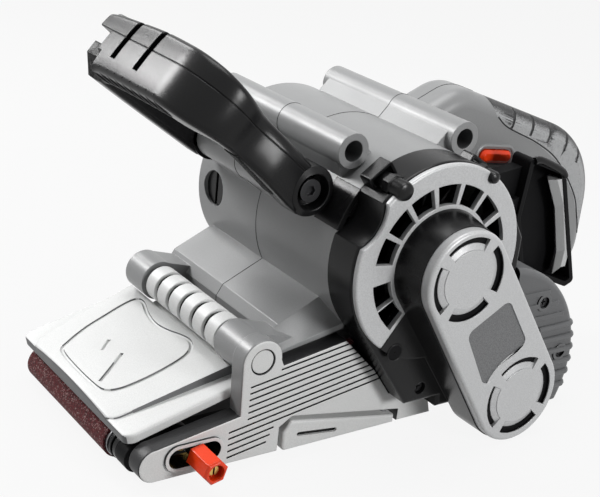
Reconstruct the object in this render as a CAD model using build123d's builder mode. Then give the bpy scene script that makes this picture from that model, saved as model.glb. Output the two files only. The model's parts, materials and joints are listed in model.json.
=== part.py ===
from build123d import *
import math
import os

os.makedirs("parts", exist_ok=True)

# Belt sander, sizes in millimetres.
# X runs towards the rear handle, Y to the operator's right, Z up.
# The origin is on the sole, midway between the rollers, on the centre line of the belt.

# Sanding belt and rollers
belt_width = 100
belt_thickness = 1
belt_gap = 0.3
front_roller_r = 9.5
drive_roller_r = 29.7
roller_distance = 215.4
roller_overhang = 2
sleeve_thickness = 3.7
axle_r = 4
drive_shaft_r = 6
running_gap = 0.05

# Layers on the left of the belt, counted outwards
yoke_offset = 11
yoke_thickness = 10
slide_gap = 0.5
wall_thickness = 6.5
panel_thickness = 11
panel_bottom = 5.5

# Motor barrel and belt drive
motor_ahead = 54.9
motor_rise = 82
barrel_r = 58
barrel_wall = 3.5
barrel_overhang = 8
barrel_step = 4
seam_y = -9.5
end_housing_depth = 22
end_lower_step = 4
end_rise = 12.5
foot_ahead = 38
foot_rise = 7
fan_cover_thickness = 3
belt_cover_depth = 18
face_plate_thickness = 6.5
motor_pulley_r = 7
driven_pulley_r = 22
drive_belt_thickness = 2
motor_shaft_r = 5

# Deck, hinge and nose cover
deck_inset = 1.5
deck_step = 3.5
deck_slope = 25.7
hinge_ahead = 98.9
hinge_drop = 49.5
hinge_pin_r = 3
lug_r = 12
lug_width = 20.5
lug_inset = 10.5
lug_gap = 1
ear_r = 12.5
knuckle_r = 10.5
knuckle_ring_rise = 1.2
ring_count = 6
ring_gap = 1.1
nose_overhang = 7
nose_gap = 1.5
nose_lip_ahead = 11.8
nose_lip_rise = 17.2
nose_hinge_gap = 7.9
nose_wall = 4

# Clamp tubes
tube_spacing = 79.6
tube_sink = 1.5
tube_r = 10
tube_bore_r = 6
tube_inset_right = 0.5
tube_inset_left = 12.5

# Front handle
pivot_angle = 150.8
pivot_gap = 0.5
pivot_hub_r = 12.5
handle_reach = 85
handle_angle = 139.5
handle_step_right = -6.5
handle_step_left = 0.5
arm_width = 18
grip_height = 31
grip_corner_r = 8.8
handle_bend = 24
handle_bend_far = 12
boss_r = 14.5
boss_recess = 8
bolt_r = 4
bolt_head_r = 6.6
bolt_head = 4.7

# Rear handle
handle_width = 37
handle_wall = 6.5
grip_skin = 3
opening_r = 9

# Tracking knob and release lever
knob_behind = 23.7
knob_rise = 6.7
knob_r = 7.4
knob_length = 19
screw_r = 3
lever_length = 79
lever_pin_inset = 4
lever_pin_r = 2
lever_gap = 2.2
lever_proud = 2

# Places that follow from the sizes above
front_x = -roller_distance / 2
rear_x = roller_distance / 2
front_z = front_roller_r + belt_gap + belt_thickness
rear_z = drive_roller_r + belt_gap + belt_thickness
belt_right = belt_width / 2
belt_left = -belt_width / 2
roller_right = belt_right + roller_overhang
roller_left = belt_left - roller_overhang
yoke_right = belt_left - yoke_offset
yoke_left = yoke_right - yoke_thickness
yoke_y = (yoke_right + yoke_left) / 2
wall_right = yoke_left - slide_gap
wall_left = wall_right - wall_thickness
panel_left = wall_left - panel_thickness
motor_x = rear_x - motor_ahead
motor_z = rear_z + motor_rise
barrel_right = belt_right + barrel_overhang
barrel_left = wall_left - barrel_step
barrel_in = barrel_r - barrel_wall
end_left = barrel_left - end_housing_depth
end_low = panel_bottom + end_rise
fan_left = end_left - fan_cover_thickness
guard_left = fan_left - belt_cover_depth
face_left = guard_left - face_plate_thickness
front_tube_x = motor_x - tube_spacing / 2
rear_tube_x = motor_x + tube_spacing / 2
tube_z = motor_z + barrel_r - tube_sink
tube_right = barrel_right - tube_inset_right
tube_left = barrel_left + tube_inset_left
deck_right = belt_right - deck_inset
deck_left = wall_right + deck_step
hinge_x = motor_x - hinge_ahead
hinge_z = motor_z - hinge_drop
nose_right = belt_right + nose_overhang
nose_left = wall_left + nose_gap
nose_lip_x = front_x - nose_lip_ahead
nose_lip_z = front_z + nose_lip_rise
nose_rear_x = hinge_x - nose_hinge_gap
pivot_distance = barrel_r + boss_r + pivot_gap
pivot_x = motor_x + pivot_distance * math.cos(math.radians(pivot_angle))
pivot_z = motor_z + pivot_distance * math.sin(math.radians(pivot_angle))
handle_right = tube_right + handle_step_right
handle_left = tube_left - handle_step_left
knob_x = front_x + knob_behind
knob_z = front_z + knob_rise
wall_top = motor_z - barrel_r - 3


def side_plane(y):
    """Upright plane facing left, with X across and Z up."""
    return Plane.XZ.offset(-y)


def rod(x, z, r, y_right, y_left, mode=Mode.ADD):
    """Round bar along Y."""
    with Locations((x, (y_right + y_left) / 2, z)):
        Cylinder(r, y_right - y_left, rotation=(90, 0, 0), mode=mode)


def cross_rod(y, z, r, x_front, x_rear, mode=Mode.ADD):
    """Round bar along X."""
    with Locations(((x_front + x_rear) / 2, y, z)):
        Cylinder(r, x_rear - x_front, rotation=(0, 90, 0), mode=mode)


def block(x_front, x_rear, y_right, y_left, z_low, z_high, mode=Mode.ADD):
    """Box between two corners."""
    middle = ((x_front + x_rear) / 2, (y_right + y_left) / 2, (z_low + z_high) / 2)
    with Locations(middle):
        Box(x_rear - x_front, y_right - y_left, z_high - z_low, mode=mode)


def loop_face(y, first, first_r, second, second_r):
    """Outline of a band laid round two circles."""
    with BuildSketch(side_plane(y)) as loop:
        with Locations(first):
            Circle(first_r)
        with Locations(second):
            Circle(second_r)
        make_hull()
    return loop.sketch


def outline_face(y, points, corner_r=0):
    """Straight sided outline with rounded corners."""
    with BuildSketch(side_plane(y)) as outline:
        with BuildLine():
            Polyline(*points, close=True)
        make_face()
        if corner_r > 0:
            fillet(outline.vertices(), corner_r)
    return outline.sketch


def web_face(y, start, start_half, end, end_half):
    """Tapered web between two centres."""
    along = Vector(end[0] - start[0], end[1] - start[1]).normalized()
    side = Vector(-along.Y, along.X)
    corners = [
        (start[0] + side.X * start_half, start[1] + side.Y * start_half),
        (end[0] + side.X * end_half, end[1] + side.Y * end_half),
        (end[0] - side.X * end_half, end[1] - side.Y * end_half),
        (start[0] - side.X * start_half, start[1] - side.Y * start_half),
    ]
    return outline_face(y, corners)


def sector_face(y, x, z, r_in, r_out, middle_deg, width_deg):
    """Part of a ring, as in an air vent."""
    low = math.radians(middle_deg - width_deg / 2)
    mid = math.radians(middle_deg)
    high = math.radians(middle_deg + width_deg / 2)
    inner = [(x + r_in * math.cos(a), z + r_in * math.sin(a)) for a in (low, mid, high)]
    outer = [(x + r_out * math.cos(a), z + r_out * math.sin(a)) for a in (low, mid, high)]
    with BuildSketch(side_plane(y)) as sector:
        with BuildLine():
            ThreePointArc(*inner)
            Line(inner[2], outer[2])
            ThreePointArc(*outer)
            Line(inner[0], outer[0])
        make_face()
    return sector.sketch


def from_drive(*offsets):
    """Side view points counted from the drive axis."""
    return [(rear_x + dx, rear_z + dz) for dx, dz in offsets]


def from_motor(*offsets):
    """Side view points counted from the motor axis."""
    return [(motor_x + dx, motor_z + dz) for dx, dz in offsets]


def end_outline(y, gap):
    """Side view of the end housing, grown all round by a gap."""
    with BuildSketch(side_plane(y)) as outline:
        with Locations(motor_axis):
            Circle(barrel_r + gap)
        with Locations(drive_axis):
            Circle(barrel_r - end_lower_step + gap)
        make_hull()
        with Locations((motor_x, end_low - gap - 2 * barrel_r)):
            Rectangle(8 * barrel_r, 4 * barrel_r, mode=Mode.SUBTRACT)
        foot_top = end_low + foot_rise - gap
        with Locations((rear_x - foot_ahead - gap - 4 * barrel_r, foot_top - 2 * barrel_r)):
            Rectangle(8 * barrel_r, 4 * barrel_r, mode=Mode.SUBTRACT)
    return outline.sketch


def finish(solid, name):
    """Name a piece and write its file."""
    solid.label = name
    export_step(solid, "parts/" + name + ".step")


front_axis = (front_x, front_z)
drive_axis = (rear_x, rear_z)
motor_axis = (motor_x, motor_z)

# Sanding belt
with BuildPart() as sanding_belt:
    outer_skin = belt_gap + belt_thickness
    extrude(loop_face(belt_right, front_axis, front_roller_r + outer_skin, drive_axis,
                      drive_roller_r + outer_skin), amount=belt_width)
    extrude(loop_face(belt_right, front_axis, front_roller_r + belt_gap, drive_axis,
                      drive_roller_r + belt_gap), amount=belt_width, mode=Mode.SUBTRACT)
finish(sanding_belt.part, "sanding_belt")

# Front roller with its stepped left end
bush_r = axle_r + 3
bush_length = 14
roller_end = yoke_right + slide_gap
with BuildPart() as front_roller:
    rod(front_x, front_z, front_roller_r, roller_right, roller_left)
    rod(front_x, front_z, front_roller_r - 1.6, roller_left, roller_left - 1.5)
    rod(front_x, front_z, front_roller_r - 0.4, roller_left - 1.5, roller_left - 3.5)
    rod(front_x, front_z, front_roller_r - 2, roller_left - 3.5, roller_left - 5)
    rod(front_x, front_z, front_roller_r - 0.9, roller_left - 5, roller_end)
    rod(front_x, front_z, axle_r + 1, roller_right, roller_end, mode=Mode.SUBTRACT)
    rod(front_x, front_z, bush_r, roller_right, roller_right - bush_length, mode=Mode.SUBTRACT)
    rod(front_x, front_z, bush_r, roller_end + bush_length, roller_end, mode=Mode.SUBTRACT)
finish(front_roller.part, "front_roller")

with BuildPart() as front_roller_bushes:
    rod(front_x, front_z, bush_r, roller_right, roller_right - bush_length)
    rod(front_x, front_z, bush_r, roller_end + bush_length, roller_end)
    rod(front_x, front_z, axle_r + running_gap, roller_right, roller_end, mode=Mode.SUBTRACT)
finish(front_roller_bushes.part, "front_roller_bushes")

with BuildPart() as front_axle:
    rod(front_x, front_z, axle_r, roller_right + slide_gap, yoke_left)
    rod(front_x, front_z, axle_r + 2, roller_right + slide_gap + 2, roller_right + slide_gap)
finish(front_axle.part, "front_axle")

# Sliding yoke of the front roller
yoke_rear = front_x + 77.7
yoke_low = front_z - 4.8
yoke_high = front_z + 11.2
spring_z = (yoke_low + yoke_high) / 2
spring_r = 4.2
with BuildPart() as front_yoke:
    rod(front_x, front_z, front_roller_r - 0.8, yoke_right, yoke_left)
    block(front_x, yoke_rear, yoke_right, yoke_left, yoke_low, yoke_high)
    rod(knob_x, knob_z, screw_r + 4, yoke_right, yoke_left)
    rod(front_x, front_z, axle_r, yoke_right, yoke_left, mode=Mode.SUBTRACT)
    rod(knob_x, knob_z, screw_r + running_gap, yoke_right, yoke_left, mode=Mode.SUBTRACT)
    cross_rod(yoke_y, spring_z, spring_r + 0.4, yoke_rear - 22, yoke_rear, mode=Mode.SUBTRACT)
finish(front_yoke.part, "front_yoke")

# Tracking knob and its brass screw
knob_right = panel_left - 3
knob_left = knob_right - knob_length
with BuildPart() as tracking_knob:
    with BuildSketch(side_plane(knob_right)):
        with Locations((knob_x, knob_z)):
            RegularPolygon(knob_r, 6, rotation=12)
    extrude(amount=knob_length)
    end_edges = tracking_knob.faces().sort_by(Axis.Y)[0].edges()
    chamfer(end_edges, 1)
    rod(knob_x, knob_z, screw_r, knob_right, knob_left, mode=Mode.SUBTRACT)
    rod(knob_x, knob_z, screw_r + 1.6, knob_left + 6, knob_left, mode=Mode.SUBTRACT)
finish(tracking_knob.part, "tracking_knob")

with BuildPart() as tracking_screw:
    rod(knob_x, knob_z, screw_r, yoke_right, knob_left + 3)
    rod(knob_x, knob_z, screw_r + 3, yoke_left - slide_gap, yoke_left - 4)
    block(knob_x - 0.5, knob_x + 0.5, knob_left + 4.5, knob_left + 2, knob_z - screw_r,
          knob_z + screw_r, mode=Mode.SUBTRACT)
finish(tracking_screw.part, "tracking_screw")

# Base frame: bridge inside the belt, side wall and drive bearing boss
platen_front = front_x + front_roller_r + 10
platen_rear = rear_x - drive_roller_r - 5
plate_low = belt_thickness + belt_gap
plate_thickness = 1
pad_thickness = 3
frame_low = plate_low + plate_thickness + pad_thickness
spring_front = yoke_rear - 14
spring_rear = yoke_rear + 22
bearing_r = drive_shaft_r + 8
bridge_height = 12.7
spine_height = 24.7
wall_rear_top = wall_top + 6
deck_front = hinge_x + 22.1
with BuildPart() as base_frame:
    block(platen_front + 4, platen_rear - 2, belt_right - 2, yoke_right + slide_gap, frame_low,
          frame_low + bridge_height)
    block(spring_rear, platen_rear - 2, yoke_right + slide_gap, wall_right, frame_low,
          frame_low + spine_height)
    wall_points = [(hinge_x, panel_bottom + 1), (rear_x + 6, panel_bottom + 1),
                   (rear_x + 6, wall_rear_top), (rear_x - 25.7, wall_rear_top),
                   (rear_x - 37.7, wall_top), (deck_front, wall_top), (hinge_x, hinge_z - 33.5)]
    extrude(outline_face(wall_right, wall_points), amount=wall_thickness)
    rod(rear_x, rear_z, bearing_r + 9, roller_left - 2, barrel_left)
    rod(rear_x, rear_z, bearing_r, roller_left - 2, barrel_left, mode=Mode.SUBTRACT)
finish(base_frame.part, "base_frame")

with BuildPart() as platen_plate:
    block(platen_front, platen_rear, belt_right - 1, belt_left + 1, plate_low,
          plate_low + plate_thickness)
finish(platen_plate.part, "platen_plate")

with BuildPart() as platen_pad:
    block(platen_front + 2, platen_rear - 2, belt_right - 1, belt_left + 1,
          plate_low + plate_thickness, frame_low)
finish(platen_pad.part, "platen_pad")

with BuildPart() as tension_spring:
    cross_rod(yoke_y, spring_z, spring_r, spring_front, spring_rear)
    cross_rod(yoke_y, spring_z, spring_r - 1.2, spring_front, spring_rear, mode=Mode.SUBTRACT)
finish(tension_spring.part, "tension_spring")

# Drive roller, its shaft and bearings
core_r = drive_roller_r - sleeve_thickness
with BuildPart() as drive_roller:
    rod(rear_x, rear_z, core_r, roller_right, roller_left)
    rod(rear_x, rear_z, core_r - 5, roller_right, roller_right - 30, mode=Mode.SUBTRACT)
    rod(rear_x, rear_z, drive_shaft_r, roller_right, roller_left, mode=Mode.SUBTRACT)
finish(drive_roller.part, "drive_roller")

with BuildPart() as drive_roller_sleeve:
    rod(rear_x, rear_z, drive_roller_r, roller_right, roller_left)
    rod(rear_x, rear_z, core_r, roller_right, roller_left, mode=Mode.SUBTRACT)
finish(drive_roller_sleeve.part, "drive_roller_sleeve")

pulley_right = fan_left - 3
pulley_left = pulley_right - 12
with BuildPart() as drive_shaft:
    rod(rear_x, rear_z, drive_shaft_r, roller_right - 30, pulley_left)
finish(drive_shaft.part, "drive_shaft")

with BuildPart() as drive_bearings:
    rod(rear_x, rear_z, bearing_r, roller_left - 3, roller_left - 13)
    rod(rear_x, rear_z, bearing_r, barrel_left + 10, barrel_left)
    rod(rear_x, rear_z, drive_shaft_r + running_gap, roller_left, barrel_left, mode=Mode.SUBTRACT)
finish(drive_bearings.part, "drive_bearings")

# Pulleys and toothed belt of the drive
flange = 1
with BuildPart() as driven_pulley:
    rod(rear_x, rear_z, driven_pulley_r, pulley_right, pulley_left)
    rod(rear_x, rear_z, driven_pulley_r + 1.8, pulley_right, pulley_right - flange)
    rod(rear_x, rear_z, driven_pulley_r + 1.8, pulley_left + flange, pulley_left)
    rod(rear_x, rear_z, drive_shaft_r, pulley_right, pulley_left, mode=Mode.SUBTRACT)
finish(driven_pulley.part, "driven_pulley")

with BuildPart() as motor_pulley:
    rod(motor_x, motor_z, motor_pulley_r, pulley_right, pulley_left)
    rod(motor_x, motor_z, motor_pulley_r + 1.8, pulley_right, pulley_right - flange)
    rod(motor_x, motor_z, motor_pulley_r + 1.8, pulley_left + flange, pulley_left)
    rod(motor_x, motor_z, motor_shaft_r, pulley_right, pulley_left, mode=Mode.SUBTRACT)
finish(motor_pulley.part, "motor_pulley")

drive_belt_right = pulley_right - flange - slide_gap
drive_belt_width = pulley_right - pulley_left - 2 * flange - 2 * slide_gap
with BuildPart() as drive_belt:
    skin = belt_gap + drive_belt_thickness
    extrude(loop_face(drive_belt_right, motor_axis, motor_pulley_r + skin, drive_axis,
                      driven_pulley_r + skin), amount=drive_belt_width)
    extrude(loop_face(drive_belt_right, motor_axis, motor_pulley_r + belt_gap, drive_axis,
                      driven_pulley_r + belt_gap), amount=drive_belt_width, mode=Mode.SUBTRACT)
finish(drive_belt.part, "drive_belt")

# Side panel with hinge ear, knob slot, lever recess and ribbed field
ear_cap_r = 7.6
panel_rear = rear_x - 27.7
panel_nose_top = front_z + 14.2
panel_gap = 0.4
deck_rear = motor_x - barrel_r + 16
slot_half = 10
slot_r = screw_r + 2.8
slot_rim = 2
slot_rim_rise = 1.6
lever_rear = panel_rear - 30
lever_front = lever_rear - lever_length
lever_pin_x = lever_rear - lever_pin_inset
lever_top_front = panel_bottom + 18
lever_top_rear = panel_bottom + 5
lever_right = wall_left - 1.8
lever_left = panel_left - lever_proud
lever_pin_y = (wall_left + lever_left) / 2
lever_swing_r = math.hypot(lever_pin_inset, lever_pin_y - lever_left) + slide_gap
pin_high = lever_top_rear + lever_gap + 6
groove_count = 12
groove_top = hinge_z - 9.6
groove_pitch = 3.85
groove_rise = 9
groove_width = 1.1
groove_depth = 1.2
panel_nose_r = (panel_nose_top - panel_bottom) / 2
with BuildPart() as side_panel:
    panel_points = [(front_x, panel_bottom), (panel_rear, panel_bottom - 1),
                    (panel_rear - 6, end_low + foot_rise), (lever_rear, end_low + foot_rise),
                    (deck_rear - 1.8, hinge_z + 2.5),
                    (hinge_x + 14.1, hinge_z - 4.5), (hinge_x + ear_r - 0.4, hinge_z),
                    (hinge_x - ear_r, hinge_z), (hinge_x - ear_r + 1, hinge_z - 30.1),
                    (front_x, panel_nose_top)]
    extrude(outline_face(wall_left, panel_points), amount=panel_thickness)
    rod(front_x, panel_bottom + panel_nose_r, panel_nose_r, wall_left, panel_left)
    rod(hinge_x, hinge_z, ear_r, wall_left, panel_left)
    rim_edges = side_panel.faces().filter_by(Axis.Y).sort_by(Axis.Y)[0].outer_wire().edges()
    fillet(rim_edges, 1.2)
    with BuildSketch(side_plane(panel_left)):
        with Locations((knob_x - 1, knob_z)):
            SlotCenterToCenter(2 * slot_half, 2 * slot_r + 2 * slot_rim)
    extrude(amount=slot_rim_rise)
    with BuildSketch(side_plane(wall_left)):
        with Locations((knob_x - 1, knob_z)):
            SlotCenterToCenter(2 * slot_half, 2 * slot_r)
    extrude(amount=panel_thickness + slot_rim_rise, mode=Mode.SUBTRACT)
    recess_rear = lever_pin_x + lever_swing_r
    recess_points = [(lever_front - lever_gap, 0), (recess_rear, 0),
                     (recess_rear, lever_top_rear + lever_gap),
                     (lever_front + 6, lever_top_front + lever_gap),
                     (lever_front - lever_gap, lever_top_front - 3)]
    extrude(outline_face(wall_left, recess_points), amount=panel_thickness, mode=Mode.SUBTRACT)
    rod(hinge_x, hinge_z, ear_cap_r + 0.1, wall_left, panel_left, mode=Mode.SUBTRACT)
    extrude(end_outline(wall_left, panel_gap), amount=panel_thickness, mode=Mode.SUBTRACT)
    rise = math.tan(math.radians(groove_rise))
    for row in range(groove_count):
        start_z = groove_top - row * groove_pitch
        start_x = hinge_x - ear_r + 6 if row < 7 else knob_x + slot_half + 10
        if row == 0:
            start_x = hinge_x + ear_r
        end_x = lever_rear if row < 9 else lever_front - 6 - (row - 9) * 2
        front_low = start_z + (start_x - hinge_x) * rise
        rear_low = start_z + (end_x - hinge_x) * rise
        groove_points = [(start_x, front_low), (end_x, rear_low), (end_x, rear_low + groove_width),
                         (start_x, front_low + groove_width)]
        extrude(outline_face(panel_left + groove_depth, groove_points), amount=groove_depth,
                mode=Mode.SUBTRACT)
    with Locations((lever_pin_x, lever_pin_y, pin_high / 2)):
        Cylinder(lever_pin_r, pin_high, mode=Mode.SUBTRACT)
finish(side_panel.part, "side_panel")

# Release lever and its pin
with BuildPart() as release_lever:
    lever_points = [(lever_front, panel_bottom), (lever_rear, panel_bottom),
                    (lever_rear, lever_top_rear), (lever_front + 5, lever_top_front),
                    (lever_front, lever_top_front - 7)]
    extrude(outline_face(lever_right, lever_points), amount=lever_right - lever_left)
    front_corner = release_lever.edges().filter_by(Axis.Y).sort_by(Axis.X)[0:3]
    fillet(front_corner, 2.4)
    face_rim = release_lever.faces().filter_by(Axis.Y).sort_by(Axis.Y)[0].edges()
    fillet(face_rim, 1.5)
    with BuildSketch(side_plane(lever_left + 1.5)):
        with Locations((lever_front + 23, panel_bottom + 7.1)):
            SlotOverall(28, 2.6, rotation=-7)
    extrude(amount=1.5, mode=Mode.SUBTRACT)
    with Locations((lever_pin_x, lever_pin_y, panel_bottom)):
        Cylinder(lever_pin_r + running_gap, 4 * pin_high, mode=Mode.SUBTRACT)
finish(release_lever.part, "release_lever")

with BuildPart() as lever_pin:
    with Locations((lever_pin_x, lever_pin_y, (panel_bottom + pin_high) / 2)):
        Cylinder(lever_pin_r, pin_high - panel_bottom)
finish(lever_pin.part, "lever_pin")

# Nose cover: sloping plate, raised field, side skirts and hinge knuckle
nose_slope = 14.5
nose_rise = math.tan(math.radians(nose_slope))
nose_rear_z = nose_lip_z + (nose_rear_x - nose_lip_x) * nose_rise
field_rise = 4.5
far_lug_right = nose_right - lug_inset
far_lug_left = far_lug_right - lug_width
near_lug_right = wall_left + lug_width
knuckle_right = far_lug_left - lug_gap
knuckle_left = near_lug_right + lug_gap
ring_pitch = (knuckle_right - knuckle_left) / ring_count
ring_half = ring_pitch / 2 - ring_gap
with BuildPart() as nose_cover:
    plate_points = [(nose_lip_x, nose_lip_z), (nose_rear_x, nose_rear_z),
                    (nose_rear_x, nose_rear_z - nose_wall),
                    (nose_lip_x + 3, nose_lip_z - nose_wall), (nose_lip_x + 1, nose_lip_z - 6.5),
                    (nose_lip_x - 1, nose_lip_z - 6.5)]
    extrude(outline_face(nose_right, plate_points), amount=nose_right - nose_left)
    skirt_points = [(nose_lip_x, nose_lip_z), (nose_rear_x, nose_rear_z),
                    (nose_rear_x, nose_rear_z - 9), (nose_lip_x + 14, nose_lip_z - 5),
                    (nose_lip_x, nose_lip_z - 6)]
    extrude(outline_face(nose_right, skirt_points), amount=nose_wall)
    extrude(outline_face(nose_left + nose_wall, skirt_points), amount=nose_wall)
    field_points = [(nose_lip_x + 2, nose_lip_z), (nose_rear_x - 3, nose_rear_z - 1),
                    (nose_rear_x - 3, nose_rear_z + field_rise)]
    extrude(outline_face(nose_right - 4, field_points), amount=nose_right - nose_left - 12)
    arm_points = [(nose_rear_x - 8, nose_rear_z - 4), (hinge_x, hinge_z - knuckle_r),
                  (hinge_x, hinge_z), (hinge_x - knuckle_r, hinge_z),
                  (nose_rear_x - 8, nose_rear_z + 3)]
    extrude(outline_face(knuckle_right, arm_points), amount=knuckle_right - knuckle_left)
    rod(hinge_x, hinge_z, knuckle_r, knuckle_right, knuckle_left)
    for ring in range(ring_count):
        ring_y = knuckle_right - (ring + 0.5) * ring_pitch
        rod(hinge_x, hinge_z, knuckle_r + knuckle_ring_rise, ring_y + ring_half, ring_y - ring_half)
    rod(hinge_x, hinge_z, hinge_pin_r + running_gap, knuckle_right, knuckle_left,
        mode=Mode.SUBTRACT)
finish(nose_cover.part, "nose_cover")

with BuildPart() as hinge_pin:
    rod(hinge_x, hinge_z, hinge_pin_r, far_lug_right, wall_left)
    rod(hinge_x, hinge_z, ear_cap_r, wall_left, panel_left + 0.8)
    rod(hinge_x, hinge_z, ear_cap_r - 3.2, panel_left + 2, panel_left + 0.8, mode=Mode.SUBTRACT)
finish(hinge_pin.part, "hinge_pin")

# Body shell: motor barrel, deck, hinge lugs, clamp tubes, handle hub and rear handle
body_left = seam_y - handle_width / 2
body_right = seam_y + handle_width / 2
rear_cover_r = 69
rear_split = rear_x + 10
deck_rise = math.tan(math.radians(deck_slope))
deck_front_z = hinge_z + 9
deck_rear_z = deck_front_z + (deck_rear - deck_front) * deck_rise
deck_low = wall_top
brush_y = barrel_right - 19
brush_cap_r = 11
brush_r = 8
brush_seat = barrel_r - 8
brush_inner = barrel_r - 22
bearing_seat_r = motor_shaft_r + 6
stator_r = barrel_in - 8.5
stack_right = barrel_right - 42
stack_left = barrel_left + 32
hub_right = handle_right - arm_width - belt_gap
hub_left = handle_left + arm_width + belt_gap

handle_top, handle_corner, handle_heel = from_drive((20.3, 154.4), (150, 108.6), (150, 6))
handle_top_r = 28
handle_corner_r = 60
handle_heel_r = 33
handle_side_r = 10
handle_front, handle_throat = from_motor((39.2, 56), (59.2, 13))
handle_foot, handle_root = from_drive((42.3, 6), (42.3, 41))
handle_points = [handle_front, handle_top, handle_corner, handle_heel, handle_foot, handle_root,
                 handle_throat]
opening_points = from_drive((68.3, 44), (108.3, 40), (119.3, 53), (115.3, 75), (98.3, 91),
                            (69.3, 102), (58.3, 89))
skin_edge_points = from_drive((36.3, 157), (49.8, 134), (60.3, 126), (89.3, 113), (111.3, 98.5),
                              (132.3, 73.5), (139.3, 57), (144.3, 43), (174.3, 37), (184.3, 119),
                              (92.3, 169))


def handle_face(y, inset):
    """Side view of the rear handle, or of its core under the rubber."""
    with BuildSketch(side_plane(y)) as side:
        with BuildLine():
            Polyline(*handle_points, close=True)
        make_face()
        fillet(side.vertices().sort_by_distance((*handle_top, 0))[0], handle_top_r)
        fillet(side.vertices().sort_by_distance((*handle_corner, 0))[0], handle_corner_r)
        fillet(side.vertices().sort_by_distance((*handle_heel, 0))[0], handle_heel_r)
        if inset > 0:
            offset(amount=-inset, mode=Mode.REPLACE)
    return side.sketch


def outer_edges(solid, y, inset):
    """Edges of the handle that lie on its back and on one side of it."""
    side_edges = solid.edges().filter_by_position(Axis.Y, y - 0.01, y + 0.01)
    back_x, upper_z = from_drive((132, 119))[0]
    return [
        edge
        for edge in side_edges
        if edge.center().X > handle_front[0] + 6
        and (edge.center().Z < handle_heel[1] + inset + 1 or edge.center().X > back_x
             or edge.center().Z > upper_z)
    ]


with BuildPart() as rear_handle:
    extrude(handle_face(body_right, 0), amount=handle_width)
    fillet(outer_edges(rear_handle, body_right, 0), handle_side_r)
    fillet(outer_edges(rear_handle, body_left, 0), handle_side_r)
    root_points = from_drive((-7.7, 59), (32.3, 39), (70.3, 41), (64.3, 99), (12.3, 119),
                             (-12.7, 119))
    extrude(outline_face(body_right, root_points), amount=handle_width)
    extrude(outline_face(body_right, opening_points, opening_r), amount=handle_width,
            mode=Mode.SUBTRACT)
    with BuildSketch(side_plane(body_right)):
        with Locations(drive_axis):
            Circle(rear_cover_r + belt_gap)
        with Locations((rear_split - belt_gap - rear_cover_r, rear_z)):
            Rectangle(2 * rear_cover_r, 3 * rear_cover_r, mode=Mode.SUBTRACT)
    extrude(amount=handle_width, mode=Mode.SUBTRACT)

with BuildPart() as grip_core:
    extrude(handle_face(body_right - grip_skin, grip_skin), amount=handle_width - 2 * grip_skin)
    core_side_r = handle_side_r - grip_skin + 0.5
    fillet(outer_edges(grip_core, body_right - grip_skin, grip_skin), core_side_r)
    fillet(outer_edges(grip_core, body_left + grip_skin, grip_skin), core_side_r)

with BuildPart() as rear_grip:
    add(rear_handle.part)
    extrude(outline_face(body_right + 2, skin_edge_points), amount=handle_width + 4,
            mode=Mode.INTERSECT)
    add(grip_core.part, mode=Mode.SUBTRACT)
finish(rear_grip.part, "rear_grip")

# Trigger inside the loop of the rear handle
trigger_half = 7.5
trigger_points = from_drive((104.3, 83), (111.3, 55), (129.3, 59), (122.3, 87))
trigger_slot = from_drive((100.3, 84.5), (108.8, 53.5), (138.3, 60), (131.3, 91))
button_place = from_drive((52.3, 108.3))[0]
button_length = 27
button_height = 8.5
button_gap = 0.5
button_tilt = -7
switch_front, switch_low = from_drive((127.3, 39))[0]
switch_high = switch_low + 14
inlet_x, inlet_z = from_drive((123.3, 11))[0]
inlet_r = 7
inlet_bore_r = 4.2
inlet_length = 16

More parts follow.
